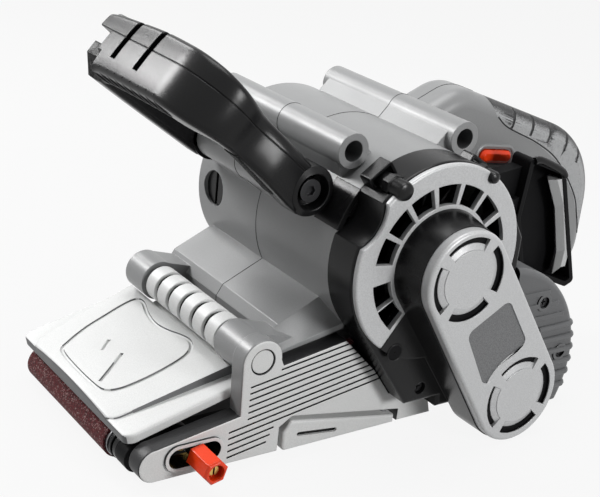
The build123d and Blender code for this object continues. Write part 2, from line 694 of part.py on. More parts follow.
with BuildPart() as body_shell:
    rod(motor_x, motor_z, barrel_r, barrel_right, barrel_left)
    barrel_rim = body_shell.faces().sort_by(Axis.Y)[-1].edges()
    fillet(barrel_rim, 2)
    deck_points = [(deck_front - 4, deck_low), (motor_x - 8, deck_low + 3), motor_axis,
                   (deck_rear, deck_rear_z), (deck_front, deck_front_z),
                   (deck_front - 4, hinge_z + 2.5)]
    extrude(outline_face(deck_right, deck_points), amount=deck_right - deck_left)
    with BuildSketch(side_plane(deck_left)):
        with BuildLine():
            Polyline((deck_front - 7, hinge_z - 1.5), (deck_front - 7, hinge_z + 5.6),
                     (deck_rear, deck_rear_z), (deck_rear, hinge_z + 6.5), close=True)
        make_face()
    with BuildSketch(side_plane(barrel_left)):
        with BuildLine():
            Polyline((deck_front - 7, hinge_z - 1.5), (deck_front - 7, hinge_z + 0.5),
                     (deck_rear, hinge_z + 10), (deck_rear, hinge_z + 6.5), close=True)
        make_face()
    loft(ruled=True)
    block(deck_front - 10, deck_rear - 2.8, deck_left, wall_left, deck_low, hinge_z + 2.5)
    lug_points = [(hinge_x, hinge_z - lug_r), (deck_front, deck_low),
                  (deck_front + 4, hinge_z + 5), (hinge_x, hinge_z + lug_r)]
    for lug_right, lug_left in ((far_lug_right, far_lug_left), (near_lug_right, wall_left)):
        extrude(outline_face(lug_right, lug_points), amount=lug_right - lug_left)
        rod(hinge_x, hinge_z, lug_r, lug_right, lug_left)
    for tube_x in (front_tube_x, rear_tube_x):
        rod(tube_x, tube_z, tube_r, tube_right, tube_left)
        extrude(web_face(tube_right - 5, (tube_x, tube_z), tube_r - 0.6, motor_axis, tube_r + 9),
                amount=tube_right - tube_left - 10)
    rod(pivot_x, pivot_z, pivot_hub_r, hub_right, hub_left)
    extrude(web_face(hub_right, (pivot_x, pivot_z), pivot_hub_r - 0.5, motor_axis, 22),
            amount=hub_right - hub_left)
    add(rear_handle.part)
    rod(motor_x, motor_z, barrel_in, barrel_right - barrel_wall, barrel_left, mode=Mode.SUBTRACT)
    hollow_points = [(deck_front, deck_low + barrel_wall), (motor_x - 10, deck_low + 6),
                     motor_axis, (deck_rear, deck_rear_z - 5),
                     (deck_front + 1.5, deck_front_z - 5)]
    extrude(outline_face(deck_right - barrel_wall, hollow_points),
            amount=deck_right - deck_left - 2 * barrel_wall, mode=Mode.SUBTRACT)
    for ring_y in (stack_right - 4, stack_left + 10):
        rod(motor_x, motor_z, barrel_in + 1, ring_y, ring_y - 6)
    rod(motor_x, motor_z, stator_r + running_gap, stack_right - 4, stack_left + 4,
        mode=Mode.SUBTRACT)
    rod(motor_x, motor_z, bearing_seat_r + 3.5, barrel_right - 2, barrel_right - 9)
    rod(motor_x, motor_z, bearing_seat_r, barrel_right - 2.5, barrel_right - 9,
        mode=Mode.SUBTRACT)
    for side in (-1, 1):
        near = motor_x + side * brush_inner
        far = motor_x + side * (barrel_r - 3)
        cross_rod(brush_y, motor_z, brush_cap_r + 2.5, min(near, far), max(near, far))
        end = motor_x + side * (barrel_r + 2)
        cross_rod(brush_y, motor_z, brush_r, min(near, end), max(near, end), mode=Mode.SUBTRACT)
        seat = motor_x + side * brush_seat
        cross_rod(brush_y, motor_z, brush_cap_r, min(seat, end), max(seat, end),
                  mode=Mode.SUBTRACT)
    for tube_x in (front_tube_x, rear_tube_x):
        rod(tube_x, tube_z, tube_bore_r, tube_right, tube_left, mode=Mode.SUBTRACT)
    rod(pivot_x, pivot_z, bolt_r, hub_right, hub_left, mode=Mode.SUBTRACT)
    rod(hinge_x, hinge_z, hinge_pin_r, nose_right, wall_left, mode=Mode.SUBTRACT)
    add(rear_grip.part, mode=Mode.SUBTRACT)
    channel_points = from_drive((4.3, 139), (57.3, 129), (104.3, 108), (124.3, 93), (139.3, 73),
                                (139.8, 41), (131.3, 25), (125.3, 39), (125.3, 69), (100.3, 98),
                                (72.3, 114), (12.3, 114))
    extrude(outline_face(body_right - handle_wall, channel_points),
            amount=handle_width - 2 * handle_wall, mode=Mode.SUBTRACT)
    extrude(outline_face(seam_y + trigger_half + slide_gap, trigger_slot),
            amount=2 * trigger_half + 2 * slide_gap, mode=Mode.SUBTRACT)
    with BuildSketch(side_plane(seam_y)):
        with Locations(button_place):
            SlotOverall(button_length + 2 * button_gap, button_height + 2 * button_gap,
                        rotation=button_tilt)
    extrude(amount=handle_width, mode=Mode.SUBTRACT)
    with Locations((inlet_x, seam_y, inlet_z)):
        Cylinder(inlet_r, inlet_length, mode=Mode.SUBTRACT)

half_space = 3 * roller_distance
with BuildPart() as housing_left:
    add(body_shell.part)
    block(-half_space, half_space, seam_y, -half_space, -half_space, half_space,
          mode=Mode.INTERSECT)
finish(housing_left.part, "housing_left")

with BuildPart() as housing_right:
    add(body_shell.part)
    block(-half_space, half_space, half_space, seam_y, -half_space, half_space,
          mode=Mode.INTERSECT)
finish(housing_right.part, "housing_right")

with BuildPart() as cord_inlet:
    with Locations((inlet_x, seam_y, inlet_z)):
        Cylinder(inlet_r, inlet_length)
        Cylinder(inlet_bore_r, inlet_length, mode=Mode.SUBTRACT)
finish(cord_inlet.part, "cord_inlet")

with BuildPart() as trigger:
    extrude(outline_face(seam_y + trigger_half, trigger_points, 3), amount=2 * trigger_half)
finish(trigger.part, "trigger")

with BuildPart() as switch_body:
    block(switch_front, switch_front + 9, body_right - handle_wall, body_left + handle_wall,
          switch_low, switch_high)
finish(switch_body.part, "switch_body")

with BuildPart() as lock_button:
    with BuildSketch(side_plane(body_left + handle_wall + button_gap)):
        with Locations(button_place):
            SlotOverall(button_length, button_height, rotation=button_tilt)
    extrude(amount=10)
    chamfer(lock_button.faces().sort_by(Axis.Y)[0].edges(), 2)
finish(lock_button.part, "lock_button")

# Black end housing between the barrel and the belt drive
vent_out = barrel_r - 12
vent_in = vent_out - 11.8
vent_width = 20
vent_middles = [163.5, 139.5, 115.5, 91.5, 67.5, 43.5, 19.5, 199, 220]
end_wall = 4
guard_upper_r = 32
guard_lower_r = 30.4
screw_places = from_motor((-24, -49.8)) + from_drive((-52.7, 2.6))
cover_screw_places = from_drive((34.3, 43), (56.3, 6), (52.3, -17))
head_r = 3.6
head_gap = 0.2
head_height = 2.4
shank_r = 2
hub_depth = 14
bite_r = boss_r + 6.5
bite_wall = 2.5
with BuildPart() as end_housing:
    extrude(end_outline(barrel_left, 0), amount=end_housing_depth)
    block(motor_x - barrel_r - 2, rear_split - belt_gap, barrel_left, end_left, end_low,
          motor_z + barrel_r + 2, mode=Mode.INTERSECT)
    face_rim = end_housing.faces().filter_by(Axis.Y).sort_by(Axis.Y)[0].edges()
    fillet(face_rim, 2)
    extrude(loop_face(end_left, motor_axis, guard_upper_r, drive_axis, guard_lower_r),
            amount=fan_cover_thickness)
    rod(motor_x, motor_z, barrel_r, end_left, fan_left, mode=Mode.SUBTRACT)
    block(rear_split - belt_gap, rear_x + 60, end_left, fan_left, 0, motor_z, mode=Mode.SUBTRACT)
    rod(motor_x, motor_z, barrel_in - 1, barrel_left, end_left + end_wall, mode=Mode.SUBTRACT)
    with BuildSketch(side_plane(barrel_left)):
        with Locations((pivot_x, pivot_z)):
            Circle(bite_r + bite_wall)
        with Locations(motor_axis):
            Circle(barrel_r - 1, mode=Mode.INTERSECT)
    extrude(amount=end_housing_depth)
    rod(pivot_x, pivot_z, bite_r, barrel_left, end_left, mode=Mode.SUBTRACT)
    rod(motor_x, motor_z, bearing_seat_r + 4, end_left + hub_depth, end_left)
    for middle in vent_middles:
        vent = sector_face(end_left + end_wall, motor_x, motor_z, vent_in, vent_out, middle,
                           vent_width)
        extrude(vent, amount=end_wall, mode=Mode.SUBTRACT)
    rod(motor_x, motor_z, bearing_seat_r, end_left + hub_depth, end_left + end_wall,
        mode=Mode.SUBTRACT)
    rod(motor_x, motor_z, motor_shaft_r + 1, end_left + hub_depth, end_left, mode=Mode.SUBTRACT)
    rod(rear_x, rear_z, drive_shaft_r + 3, barrel_left, fan_left, mode=Mode.SUBTRACT)
    for x, z in screw_places:
        rod(x, z, head_r + head_gap, end_left + 5, end_left, mode=Mode.SUBTRACT)
        rod(x, z, shank_r, barrel_left, end_left, mode=Mode.SUBTRACT)
finish(end_housing.part, "end_housing")


def screw(x, z, y_head, length):
    """Cross head screw with its head facing left."""
    cross_half = head_r - 1.4
    slit_half = 0.5
    slit_bottom = y_head + head_height - 1
    rod(x, z, head_r, y_head + head_height, y_head)
    rod(x, z, shank_r, y_head + length, y_head + head_height)
    block(x - cross_half, x + cross_half, slit_bottom, y_head, z - slit_half, z + slit_half,
          mode=Mode.SUBTRACT)
    block(x - slit_half, x + slit_half, slit_bottom, y_head, z - cross_half, z + cross_half,
          mode=Mode.SUBTRACT)


with BuildPart() as body_screws:
    for x, z in screw_places:
        screw(x, z, end_left + 5 - head_height, 15)
finish(body_screws.part, "body_screws")

# Clips that hold the fan cover to the end housing
clip_angles = [127, 58]
with BuildPart() as end_housing_clips:
    for angle in clip_angles:
        for r, tall, wide, right, left in ((barrel_r + 2.4, 4.4, 25, barrel_left - 1, fan_left - 2),
                                           (barrel_r - 2.5, 14, 14, fan_left, fan_left - 2)):
            turn = math.radians(angle)
            x = motor_x + r * math.cos(turn)
            z = motor_z + r * math.sin(turn)
            with BuildSketch(side_plane(right)):
                with Locations((x, z)):
                    RectangleRounded(tall, wide, 1.8, rotation=angle)
            extrude(amount=right - left)
    rod(motor_x, motor_z, barrel_r + 0.2, barrel_left, fan_left, mode=Mode.SUBTRACT)
finish(end_housing_clips.part, "end_housing_clips")

# Fan cover with its ring of vents
fan_cover_r = barrel_r - 0.7
with BuildPart() as fan_cover:
    rod(motor_x, motor_z, fan_cover_r, end_left, fan_left)
    fillet(fan_cover.faces().sort_by(Axis.Y)[0].edges(), 1.4)
    for middle in vent_middles:
        vent = sector_face(end_left, motor_x, motor_z, vent_in, vent_out, middle, vent_width)
        extrude(vent, amount=fan_cover_thickness, mode=Mode.SUBTRACT)
    rod(motor_x, motor_z, bearing_seat_r, end_left, fan_left, mode=Mode.SUBTRACT)
    rod(pivot_x, pivot_z, bite_r + bite_wall / 2, end_left, fan_left, mode=Mode.SUBTRACT)
finish(fan_cover.part, "fan_cover")

# Guard of the drive belt and its silver face
face_upper_r = guard_upper_r - 4
face_lower_r = guard_lower_r - 0.8
face_step = 0.6
with BuildPart() as belt_cover:
    guard_foot = loop_face(fan_left, motor_axis, guard_upper_r, drive_axis, guard_lower_r)
    guard_top = loop_face(guard_left, motor_axis, face_upper_r + face_step, drive_axis,
                          face_lower_r + face_step)
    loft([guard_foot, guard_top], ruled=True)
    extrude(loop_face(fan_left, motor_axis, guard_upper_r - 5, drive_axis, guard_lower_r - 5),
            amount=belt_cover_depth - 2.5, mode=Mode.SUBTRACT)
finish(belt_cover.part, "belt_cover")

ring_out = face_upper_r - 3.4
ring_in = ring_out - 7.4
plate_recess = from_motor((4.9, -33.5), (33.5, -17.3), (53.2, -46.7), (25.3, -71))
with BuildPart() as belt_cover_plate:
    extrude(loop_face(guard_left, motor_axis, face_upper_r, drive_axis, face_lower_r),
            amount=face_plate_thickness)
    plate_rim = belt_cover_plate.faces().filter_by(Axis.Y).sort_by(Axis.Y)[0].edges()
    fillet(plate_rim, 2)
    for x, z in (motor_axis, drive_axis):
        for middle in (10, 100, 190, 280):
            slot = sector_face(face_left + 4.5, x, z, ring_in, ring_out, middle, 72)
            extrude(slot, amount=4.5, mode=Mode.SUBTRACT)
    extrude(outline_face(face_left + 0.8, plate_recess, 5), amount=0.8, mode=Mode.SUBTRACT)
finish(belt_cover_plate.part, "belt_cover_plate")

# Ribbed cover behind the drive roller
rear_right = belt_right + 2.5
rear_left = fan_left + 0.4
rear_wall = 3.5
with BuildPart() as rear_cover:
    rod(rear_x, rear_z, rear_cover_r, rear_right, rear_left)
    fillet(rear_cover.faces().sort_by(Axis.Y)[0].edges(), 4)
    rod(rear_x, rear_z, rear_cover_r - rear_wall, rear_right - rear_wall, rear_left + rear_wall,
        mode=Mode.SUBTRACT)
    block(rear_split, rear_x + rear_cover_r + 1, rear_right, rear_left, 3,
          rear_z + rear_cover_r + 1, mode=Mode.INTERSECT)
    rod(rear_x, rear_z, drive_roller_r + 6, rear_right, rear_right - 6, mode=Mode.SUBTRACT)
    for row in range(9):
        rib_z = rear_z - 19 + row * 8.4
        rib_reach = math.sqrt((rear_cover_r - 7) ** 2 - (rib_z + 1 - rear_z) ** 2)
        if rear_x + rib_reach > rear_split + 16:
            block(rear_split + 2, rear_x + rib_reach, rear_left + 0.5, rear_left - 1, rib_z,
                  rib_z + 3)
    for x, z in cover_screw_places:
        rod(x, z, head_r + 2, rear_left + 12, rear_left - 1)
        rod(x, z, head_r + head_gap, rear_left + 3, rear_left - 1, mode=Mode.SUBTRACT)
        rod(x, z, shank_r, rear_left + 12, rear_left, mode=Mode.SUBTRACT)
    extrude(loop_face(rear_left, motor_axis, guard_upper_r + 1, drive_axis, guard_lower_r + 1),
            amount=2, mode=Mode.SUBTRACT)
finish(rear_cover.part, "rear_cover")

with BuildPart() as cover_screws:
    for x, z in cover_screw_places:
        screw(x, z, rear_left + 3 - head_height, 10)
finish(cover_screws.part, "cover_screws")

# Dust outlet: rectangular mouth facing left, fed by a channel from the rear cover
port_back = body_left - 18
port_left = port_back - 16
port_wall = 3
port_points = from_drive((50.3, 118.5), (82.8, 106), (109.3, 27), (101.8, 24), (57.3, 42.5),
                         (46.3, 79))
channel_outline = from_drive((13.3, 59), (13.3, 85), (52.3, 93), (62.3, 45), (42.3, 39))
with BuildPart() as dust_port:
    extrude(outline_face(port_back, port_points, 3), amount=port_back - port_left)
    extrude(outline_face(body_left, channel_outline), amount=body_left - port_left - 2)
    inner_points = from_drive((53.3, 114.5), (80.3, 104), (105.5, 28.8), (101.9, 27.4), (59.9, 44.8),
                              (49.5, 79))
    extrude(outline_face(port_back - port_wall, inner_points, 2),
            amount=port_back - port_wall - port_left, mode=Mode.SUBTRACT)
    inner_channel = from_drive((16.3, 53), (16.3, 82), (60.3, 89), (60.3, 48), (42.3, 39))
    extrude(outline_face(body_left - port_wall, inner_channel),
            amount=body_left - port_left - 2 - 2 * port_wall, mode=Mode.SUBTRACT)
    rod(rear_x, rear_z, rear_cover_r + belt_gap, body_left, port_left, mode=Mode.SUBTRACT)
finish(dust_port.part, "dust_port")

with BuildPart() as dust_port_liner:
    liner_points = from_drive((79.2, 103), (104.3, 29), (100.8, 30.4), (95.3, 35), (73.3, 100))
    extrude(outline_face(port_back - port_wall, liner_points), amount=9)
finish(dust_port_liner.part, "dust_port_liner")

# Motor
stator_in = stator_r - 16
armature_r = stator_in - 0.6
coil_length = 9
with BuildPart() as stator:
    rod(motor_x, motor_z, stator_r, stack_right, stack_left)
    rod(motor_x, motor_z, stator_in, stack_right, stack_left, mode=Mode.SUBTRACT)
finish(stator.part, "stator")

with BuildPart() as field_coils:
    rod(motor_x, motor_z, stator_r - 2, stack_right + coil_length, stack_right)
    rod(motor_x, motor_z, stator_r - 2, stack_left, stack_left - coil_length)
    rod(motor_x, motor_z, stator_in + 2, stack_right + coil_length, stack_left - coil_length,
        mode=Mode.SUBTRACT)
finish(field_coils.part, "field_coils")

with BuildPart() as armature:
    rod(motor_x, motor_z, armature_r, stack_right, stack_left)
    rod(motor_x, motor_z, armature_r - 7, stack_right + coil_length, stack_left - coil_length)
    rod(motor_x, motor_z, motor_shaft_r, stack_right + coil_length, stack_left - coil_length,
        mode=Mode.SUBTRACT)
finish(armature.part, "armature")

commutator_r = motor_shaft_r + 8
with BuildPart() as commutator:
    rod(motor_x, motor_z, commutator_r, brush_y + 7, brush_y - 8)
    rod(motor_x, motor_z, motor_shaft_r, brush_y + 7, brush_y - 8, mode=Mode.SUBTRACT)
finish(commutator.part, "commutator")

with BuildPart() as motor_shaft:
    rod(motor_x, motor_z, motor_shaft_r, barrel_right - 3, pulley_left)
finish(motor_shaft.part, "motor_shaft")

with BuildPart() as motor_bearings:
    rod(motor_x, motor_z, bearing_seat_r, barrel_right - 2.5, barrel_right - 9)
    rod(motor_x, motor_z, bearing_seat_r, end_left + hub_depth, end_left + end_wall)
    rod(motor_x, motor_z, motor_shaft_r + running_gap, barrel_right, end_left,
        mode=Mode.SUBTRACT)
finish(motor_bearings.part, "motor_bearings")

fan_right = barrel_left + 16
fan_r = barrel_in - 6.5
with BuildPart() as cooling_fan:
    rod(motor_x, motor_z, fan_r, fan_right, fan_right - 2)
    rod(motor_x, motor_z, motor_shaft_r + 5, fan_right, fan_right - 14)
    with BuildSketch(side_plane(fan_right - 2)):
        with Locations(motor_axis):
            with PolarLocations(fan_r / 2 + 5, 14):
                Rectangle(fan_r - 12, 1.6)
    extrude(amount=12)
    rod(motor_x, motor_z, motor_shaft_r, fan_right, fan_right - 14, mode=Mode.SUBTRACT)
finish(cooling_fan.part, "cooling_fan")

carbon_half = 3
carbon_tall = 4.5
with BuildPart() as brush_holders:
    for side in (-1, 1):
        near = motor_x + side * (commutator_r + 3)
        far = motor_x + side * brush_seat
        cross_rod(brush_y, motor_z, brush_r, min(near, far), max(near, far))
        block(min(near, far), max(near, far), brush_y + carbon_half, brush_y - carbon_half,
              motor_z - carbon_tall, motor_z + carbon_tall, mode=Mode.SUBTRACT)
finish(brush_holders.part, "brush_holders")

with BuildPart() as carbon_brushes:
    for side in (-1, 1):
        near = motor_x + side * (commutator_r + belt_gap)
        far = motor_x + side * (brush_seat - 10)
        block(min(near, far), max(near, far), brush_y + carbon_half, brush_y - carbon_half,
              motor_z - carbon_tall, motor_z + carbon_tall)
finish(carbon_brushes.part, "carbon_brushes")

with BuildPart() as brush_caps:
    for side in (-1, 1):
        near = motor_x + side * brush_seat
        far = motor_x + side * (barrel_r - 2.5)
        cross_rod(brush_y, motor_z, brush_cap_r - 0.2, min(near, far), max(near, far))
        slot = motor_x + side * (barrel_r - 4.5)
        block(min(slot, far), max(slot, far), brush_y + 1.2, brush_y - 1.2, motor_z - brush_cap_r,
              motor_z + brush_cap_r, mode=Mode.SUBTRACT)
finish(brush_caps.part, "brush_caps")

# Front handle: a bail that swings on the hub
turn = math.radians(handle_angle)
reach_x = math.cos(turn)
reach_z = math.sin(turn)
bail = Plane(origin=(pivot_x, 0, pivot_z), x_dir=(0, -1, 0), z_dir=(-reach_z, 0, reach_x))
arm_near = -handle_left - arm_width / 2
arm_far = -handle_right + arm_width / 2
with BuildPart() as front_handle:
    with BuildLine(bail) as bail_path:
        FilletPolyline((arm_far, 0), (arm_far, handle_reach), (arm_near, handle_reach),
                       (arm_near, 0), radius=(handle_bend_far, handle_bend))
    with BuildSketch(Plane(origin=bail_path.line @ 0, z_dir=bail_path.line % 0,
                           x_dir=(0, 1, 0))):
        RectangleRounded(arm_width, grip_height, grip_corner_r)
    sweep(path=bail_path.line)
    rod(pivot_x, pivot_z, boss_r, handle_right, handle_right - arm_width)
    rod(pivot_x, pivot_z, boss_r, handle_left + arm_width, handle_left)
    for outer, inner in ((handle_right, handle_right - boss_recess),
                         (handle_left + boss_recess, handle_left)):
        rod(pivot_x, pivot_z, boss_r - 5.5, outer, inner, mode=Mode.SUBTRACT)
    rod(pivot_x, pivot_z, bolt_r + running_gap, handle_right, handle_left, mode=Mode.SUBTRACT)
finish(front_handle.part, "front_handle")

socket_depth = 2.5
with BuildPart() as handle_bolts:
    for outer, inwards, tip in ((handle_right - 3, -1, hub_right - 14),
                                (handle_left + 3, 1, hub_left + 14)):
        inner = outer + inwards * bolt_head
        socket = outer + inwards * socket_depth
        rod(pivot_x, pivot_z, bolt_head_r, max(outer, inner), min(outer, inner))
        rod(pivot_x, pivot_z, bolt_r, max(inner, tip), min(inner, tip))
        with BuildSketch(side_plane(max(outer, socket))):
            with Locations((pivot_x, pivot_z)):
                RegularPolygon(bolt_r - 1, 6)
        extrude(amount=socket_depth, mode=Mode.SUBTRACT)
finish(handle_bolts.part, "handle_bolts")
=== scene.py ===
import json
import math
import bpy
import bmesh
from mathutils import Matrix, Vector
from mathutils.bvhtree import BVHTree


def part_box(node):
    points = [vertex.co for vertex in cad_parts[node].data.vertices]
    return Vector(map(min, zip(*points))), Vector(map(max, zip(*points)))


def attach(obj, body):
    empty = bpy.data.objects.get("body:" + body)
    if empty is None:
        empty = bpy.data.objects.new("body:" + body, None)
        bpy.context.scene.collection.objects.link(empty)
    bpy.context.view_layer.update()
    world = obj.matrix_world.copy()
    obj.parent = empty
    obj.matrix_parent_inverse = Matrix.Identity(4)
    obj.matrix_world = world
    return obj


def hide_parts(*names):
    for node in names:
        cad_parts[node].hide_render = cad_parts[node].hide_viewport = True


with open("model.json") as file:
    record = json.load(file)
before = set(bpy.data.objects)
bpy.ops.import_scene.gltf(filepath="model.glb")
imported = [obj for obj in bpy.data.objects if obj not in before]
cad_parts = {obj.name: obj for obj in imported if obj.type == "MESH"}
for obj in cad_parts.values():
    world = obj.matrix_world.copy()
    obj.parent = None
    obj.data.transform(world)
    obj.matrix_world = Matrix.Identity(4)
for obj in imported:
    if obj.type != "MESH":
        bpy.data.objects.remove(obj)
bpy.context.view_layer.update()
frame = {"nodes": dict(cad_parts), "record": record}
nodes = frame["nodes"]
MM = 0.001


# Places read from the frame
def middle(node):
    low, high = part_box(node)
    return (low + high) / 2


PIVOT = middle("handle_bolts")
MOTOR = middle("motor_shaft")
DRIVE = middle("drive_shaft")
FRONT = middle("front_axle")
HINGE = middle("hinge_pin")
SEAM_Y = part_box("housing_left")[1].y
FACE_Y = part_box("belt_cover_plate")[0].y
FAN_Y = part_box("fan_cover")[0].y
PORT_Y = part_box("dust_port")[0].y

# Camera at the photo's viewing angle
CAMERA_AT = Vector((-0.3991, -0.5841, 0.3716))
LOOKS_ALONG = Vector((0.5553, 0.7454, -0.3687))
UP_IN_VIEW = Vector((0.1316, 0.3590, 0.9239))
LENS = 76.7


def new_object(name, data):
    made = bpy.data.objects.new(name, data)
    bpy.context.scene.collection.objects.link(made)
    return made


def add_camera():
    forward = LOOKS_ALONG.normalized()
    right = forward.cross(UP_IN_VIEW).normalized()
    up = right.cross(forward)
    turn = Matrix((right, up, -forward)).transposed().to_4x4()
    data = bpy.data.cameras.new("camera")
    data.lens = LENS
    data.clip_start = 0.01
    camera = new_object("camera", data)
    camera.matrix_world = Matrix.Translation(CAMERA_AT) @ turn
    bpy.context.scene.camera = camera


# Shader helpers; texture sizes and depths are in mm
BLOTCH = 34
EDGE_PATCH = 6
GRAIN_DEPTH = 0.12
STREAK_DEPTH = 0.05
GRIT = 0.65
GRIT_DEPTH = 0.5
GRIT_DARK = (0.02, 0.002, 0.003)
GRIT_LIGHT = (0.16, 0.016, 0.02)
GRIT_GLINT = (0.40, 0.27, 0.26)
RUBBER_GRAIN = 0.6
RUBBER_DEPTH = 0.25
RUBBER_DARK = (0.012, 0.012, 0.013)
RUBBER_PALE = (0.40, 0.405, 0.41)
FLAT_EDGE = 0.995
SHARP_EDGE = 0.86


def new_node(tree, kind, **settings):
    """Shader node with its settings; one that names an input gives that input its value."""
    made = tree.nodes.new(kind)
    for key, value in settings.items():
        if key in made.inputs:
            made.inputs[key].default_value = value
        else:
            setattr(made, key, value)
    return made


def start_material(name, fixed):
    """Material with some shader inputs that are the same all over."""
    material = bpy.data.materials.new(name)
    material.use_nodes = True
    tree = material.node_tree
    shader = tree.nodes["Principled BSDF"]
    for key, value in fixed.items():
        shader.inputs[key].default_value = value
    return material, tree, shader


def noise(tree, grain_mm, detail=2.0, rough=0.5, stretch=(1, 1, 1)):
    """Noise with features of about grain_mm, in object space."""
    coords = new_node(tree, "ShaderNodeTexCoord")
    mapping = new_node(tree, "ShaderNodeMapping", Scale=stretch)
    tree.links.new(coords.outputs["Object"], mapping.inputs["Vector"])
    scale = 1 / (grain_mm * MM)
    texture = new_node(tree, "ShaderNodeTexNoise", Scale=scale, Detail=detail, Roughness=rough)
    tree.links.new(mapping.outputs["Vector"], texture.inputs["Vector"])
    return texture.outputs["Fac"]


def remap(tree, value, low, high, out_low, out_high):
    limits = {"From Min": low, "From Max": high, "To Min": out_low, "To Max": out_high}
    made = new_node(tree, "ShaderNodeMapRange", **limits)
    tree.links.new(value, made.inputs["Value"])
    return made.outputs["Result"]


def combine(tree, operation, first, second):
    """Sum, product or greater of two sockets."""
    made = new_node(tree, "ShaderNodeMath", operation=operation)
    tree.links.new(first, made.inputs[0])
    tree.links.new(second, made.inputs[1])
    return made.outputs["Value"]


def mix_colour(tree, factor, first, second):
    """Mix of two colours; each is a colour or a socket."""
    made = new_node(tree, "ShaderNodeMix", data_type="RGBA")
    tree.links.new(factor, made.inputs["Factor"])
    for socket, colour in ((made.inputs["A"], first), (made.inputs["B"], second)):
        if isinstance(colour, tuple):
            socket.default_value = (*colour, 1)
        else:
            tree.links.new(colour, socket)
    return made.outputs["Result"]


def edge_mask(tree, radius_mm):
    """One on sharp edges and zero on flat faces, with the rounded normal."""
    bevel = new_node(tree, "ShaderNodeBevel", samples=6, Radius=radius_mm * MM)
    geometry = new_node(tree, "ShaderNodeNewGeometry")
    dot = new_node(tree, "ShaderNodeVectorMath", operation="DOT_PRODUCT")
    tree.links.new(bevel.outputs["Normal"], dot.inputs[0])
    tree.links.new(geometry.outputs["Normal"], dot.inputs[1])
    mask = remap(tree, dot.outputs["Value"], FLAT_EDGE, SHARP_EDGE, 0.0, 1.0)
    return mask, bevel.outputs["Normal"]


def bump(tree, height, strength, depth_mm, normal=None):
    made = new_node(tree, "ShaderNodeBump", Strength=strength, Distance=depth_mm * MM)
    tree.links.new(height, made.inputs["Height"])
    if normal is not None:
        tree.links.new(normal, made.inputs["Normal"])
    return made.outputs["Normal"]


def moulded(name, colour, rough, grain_mm=0.5, grain=0.25, speckle=0.06, scuff_and_highlight_gain=1.18, edge_mm=0.7,
            gloss=0.5, metallic=0.0):
    """Moulded plastic or paint: fine spark texture, slight blotches, and edges made lighter, partly as
    scuffing and partly as a painted highlight.
    """
    material, tree, shader = start_material(name, {"Metallic": metallic, "Specular IOR Level": gloss})
    dark = tuple(c * (1 - speckle) for c in colour)
    light = tuple(min(1, c * (1 + speckle)) for c in colour)
    lightened = tuple(min(1, c * scuff_and_highlight_gain + 0.004) for c in colour)
    shade = tuple(c * 0.95 for c in colour)
    speck = remap(tree, noise(tree, grain_mm, 3.0, 0.6), 0.36, 0.64, 0.0, 1.0)
    blotch = noise(tree, BLOTCH, 3.0)
    tint = mix_colour(tree, speck, dark, light)
    mottled = mix_colour(tree, remap(tree, blotch, 0.4, 0.7, 0.0, 0.3), tint, shade)
    # Edges are lightened in patches: partly scuffing, partly a painted highlight
    edges, rounded = edge_mask(tree, edge_mm)
    patches = remap(tree, noise(tree, EDGE_PATCH, 3.0), 0.35, 0.65, 0.35, 1.0)
    scuff_and_highlight = combine(tree, "MULTIPLY", edges, patches)
    tree.links.new(mix_colour(tree, scuff_and_highlight, mottled, lightened), shader.inputs["Base Color"])
    sheen = remap(tree, blotch, 0.3, 0.7, rough * 0.9, rough * 1.12)
    tree.links.new(sheen, shader.inputs["Roughness"])
    grained = bump(tree, noise(tree, grain_mm, 2.0), grain, GRAIN_DEPTH, rounded)
    tree.links.new(grained, shader.inputs["Normal"])
    return material


def turned_metal(name, colour, rough, streak_mm=0.3, edge_mm=0.4):
    """Machined metal with fine streaks."""
    material, tree, shader = start_material(name, {"Metallic": 1.0})
    streaks = noise(tree, streak_mm, 3.0, 0.6, (1, 0.08, 1))
    dull = tuple(c * 0.78 for c in colour)
    tint = mix_colour(tree, remap(tree, streaks, 0.35, 0.65, 0, 1), dull, colour)
    tree.links.new(tint, shader.inputs["Base Color"])
    sheen = remap(tree, streaks, 0.3, 0.7, rough * 0.8, rough * 1.25)
    tree.links.new(sheen, shader.inputs["Roughness"])
    _, rounded = edge_mask(tree, edge_mm)
    tree.links.new(bump(tree, streaks, 0.12, STREAK_DEPTH, rounded), shader.inputs["Normal"])
    return material


def abrasive(name):
    """Red brown grit bonded to cloth."""
    material, tree, shader = start_material(name, {"Roughness": 0.62, "Specular IOR Level": 0.2})
    coords = new_node(tree, "ShaderNodeTexCoord")
    grit = new_node(tree, "ShaderNodeTexVoronoi", Scale=1 / (GRIT * MM))
    tree.links.new(coords.outputs["Object"], grit.inputs["Vector"])
    split = new_node(tree, "ShaderNodeSeparateColor")
    tree.links.new(grit.outputs["Color"], split.inputs["Color"])
    grain_tint = mix_colour(tree, split.outputs["Red"], GRIT_DARK, GRIT_LIGHT)
    glint = remap(tree, split.outputs["Green"], 0.84, 0.94, 0.0, 0.85)
    tree.links.new(mix_colour(tree, glint, grain_tint, GRIT_GLINT), shader.inputs["Base Color"])
    height = remap(tree, grit.outputs["Distance"], 0.0, 0.7, 1.0, 0.0)
    tree.links.new(bump(tree, height, 1.0, GRIT_DEPTH), shader.inputs["Normal"])
    return material


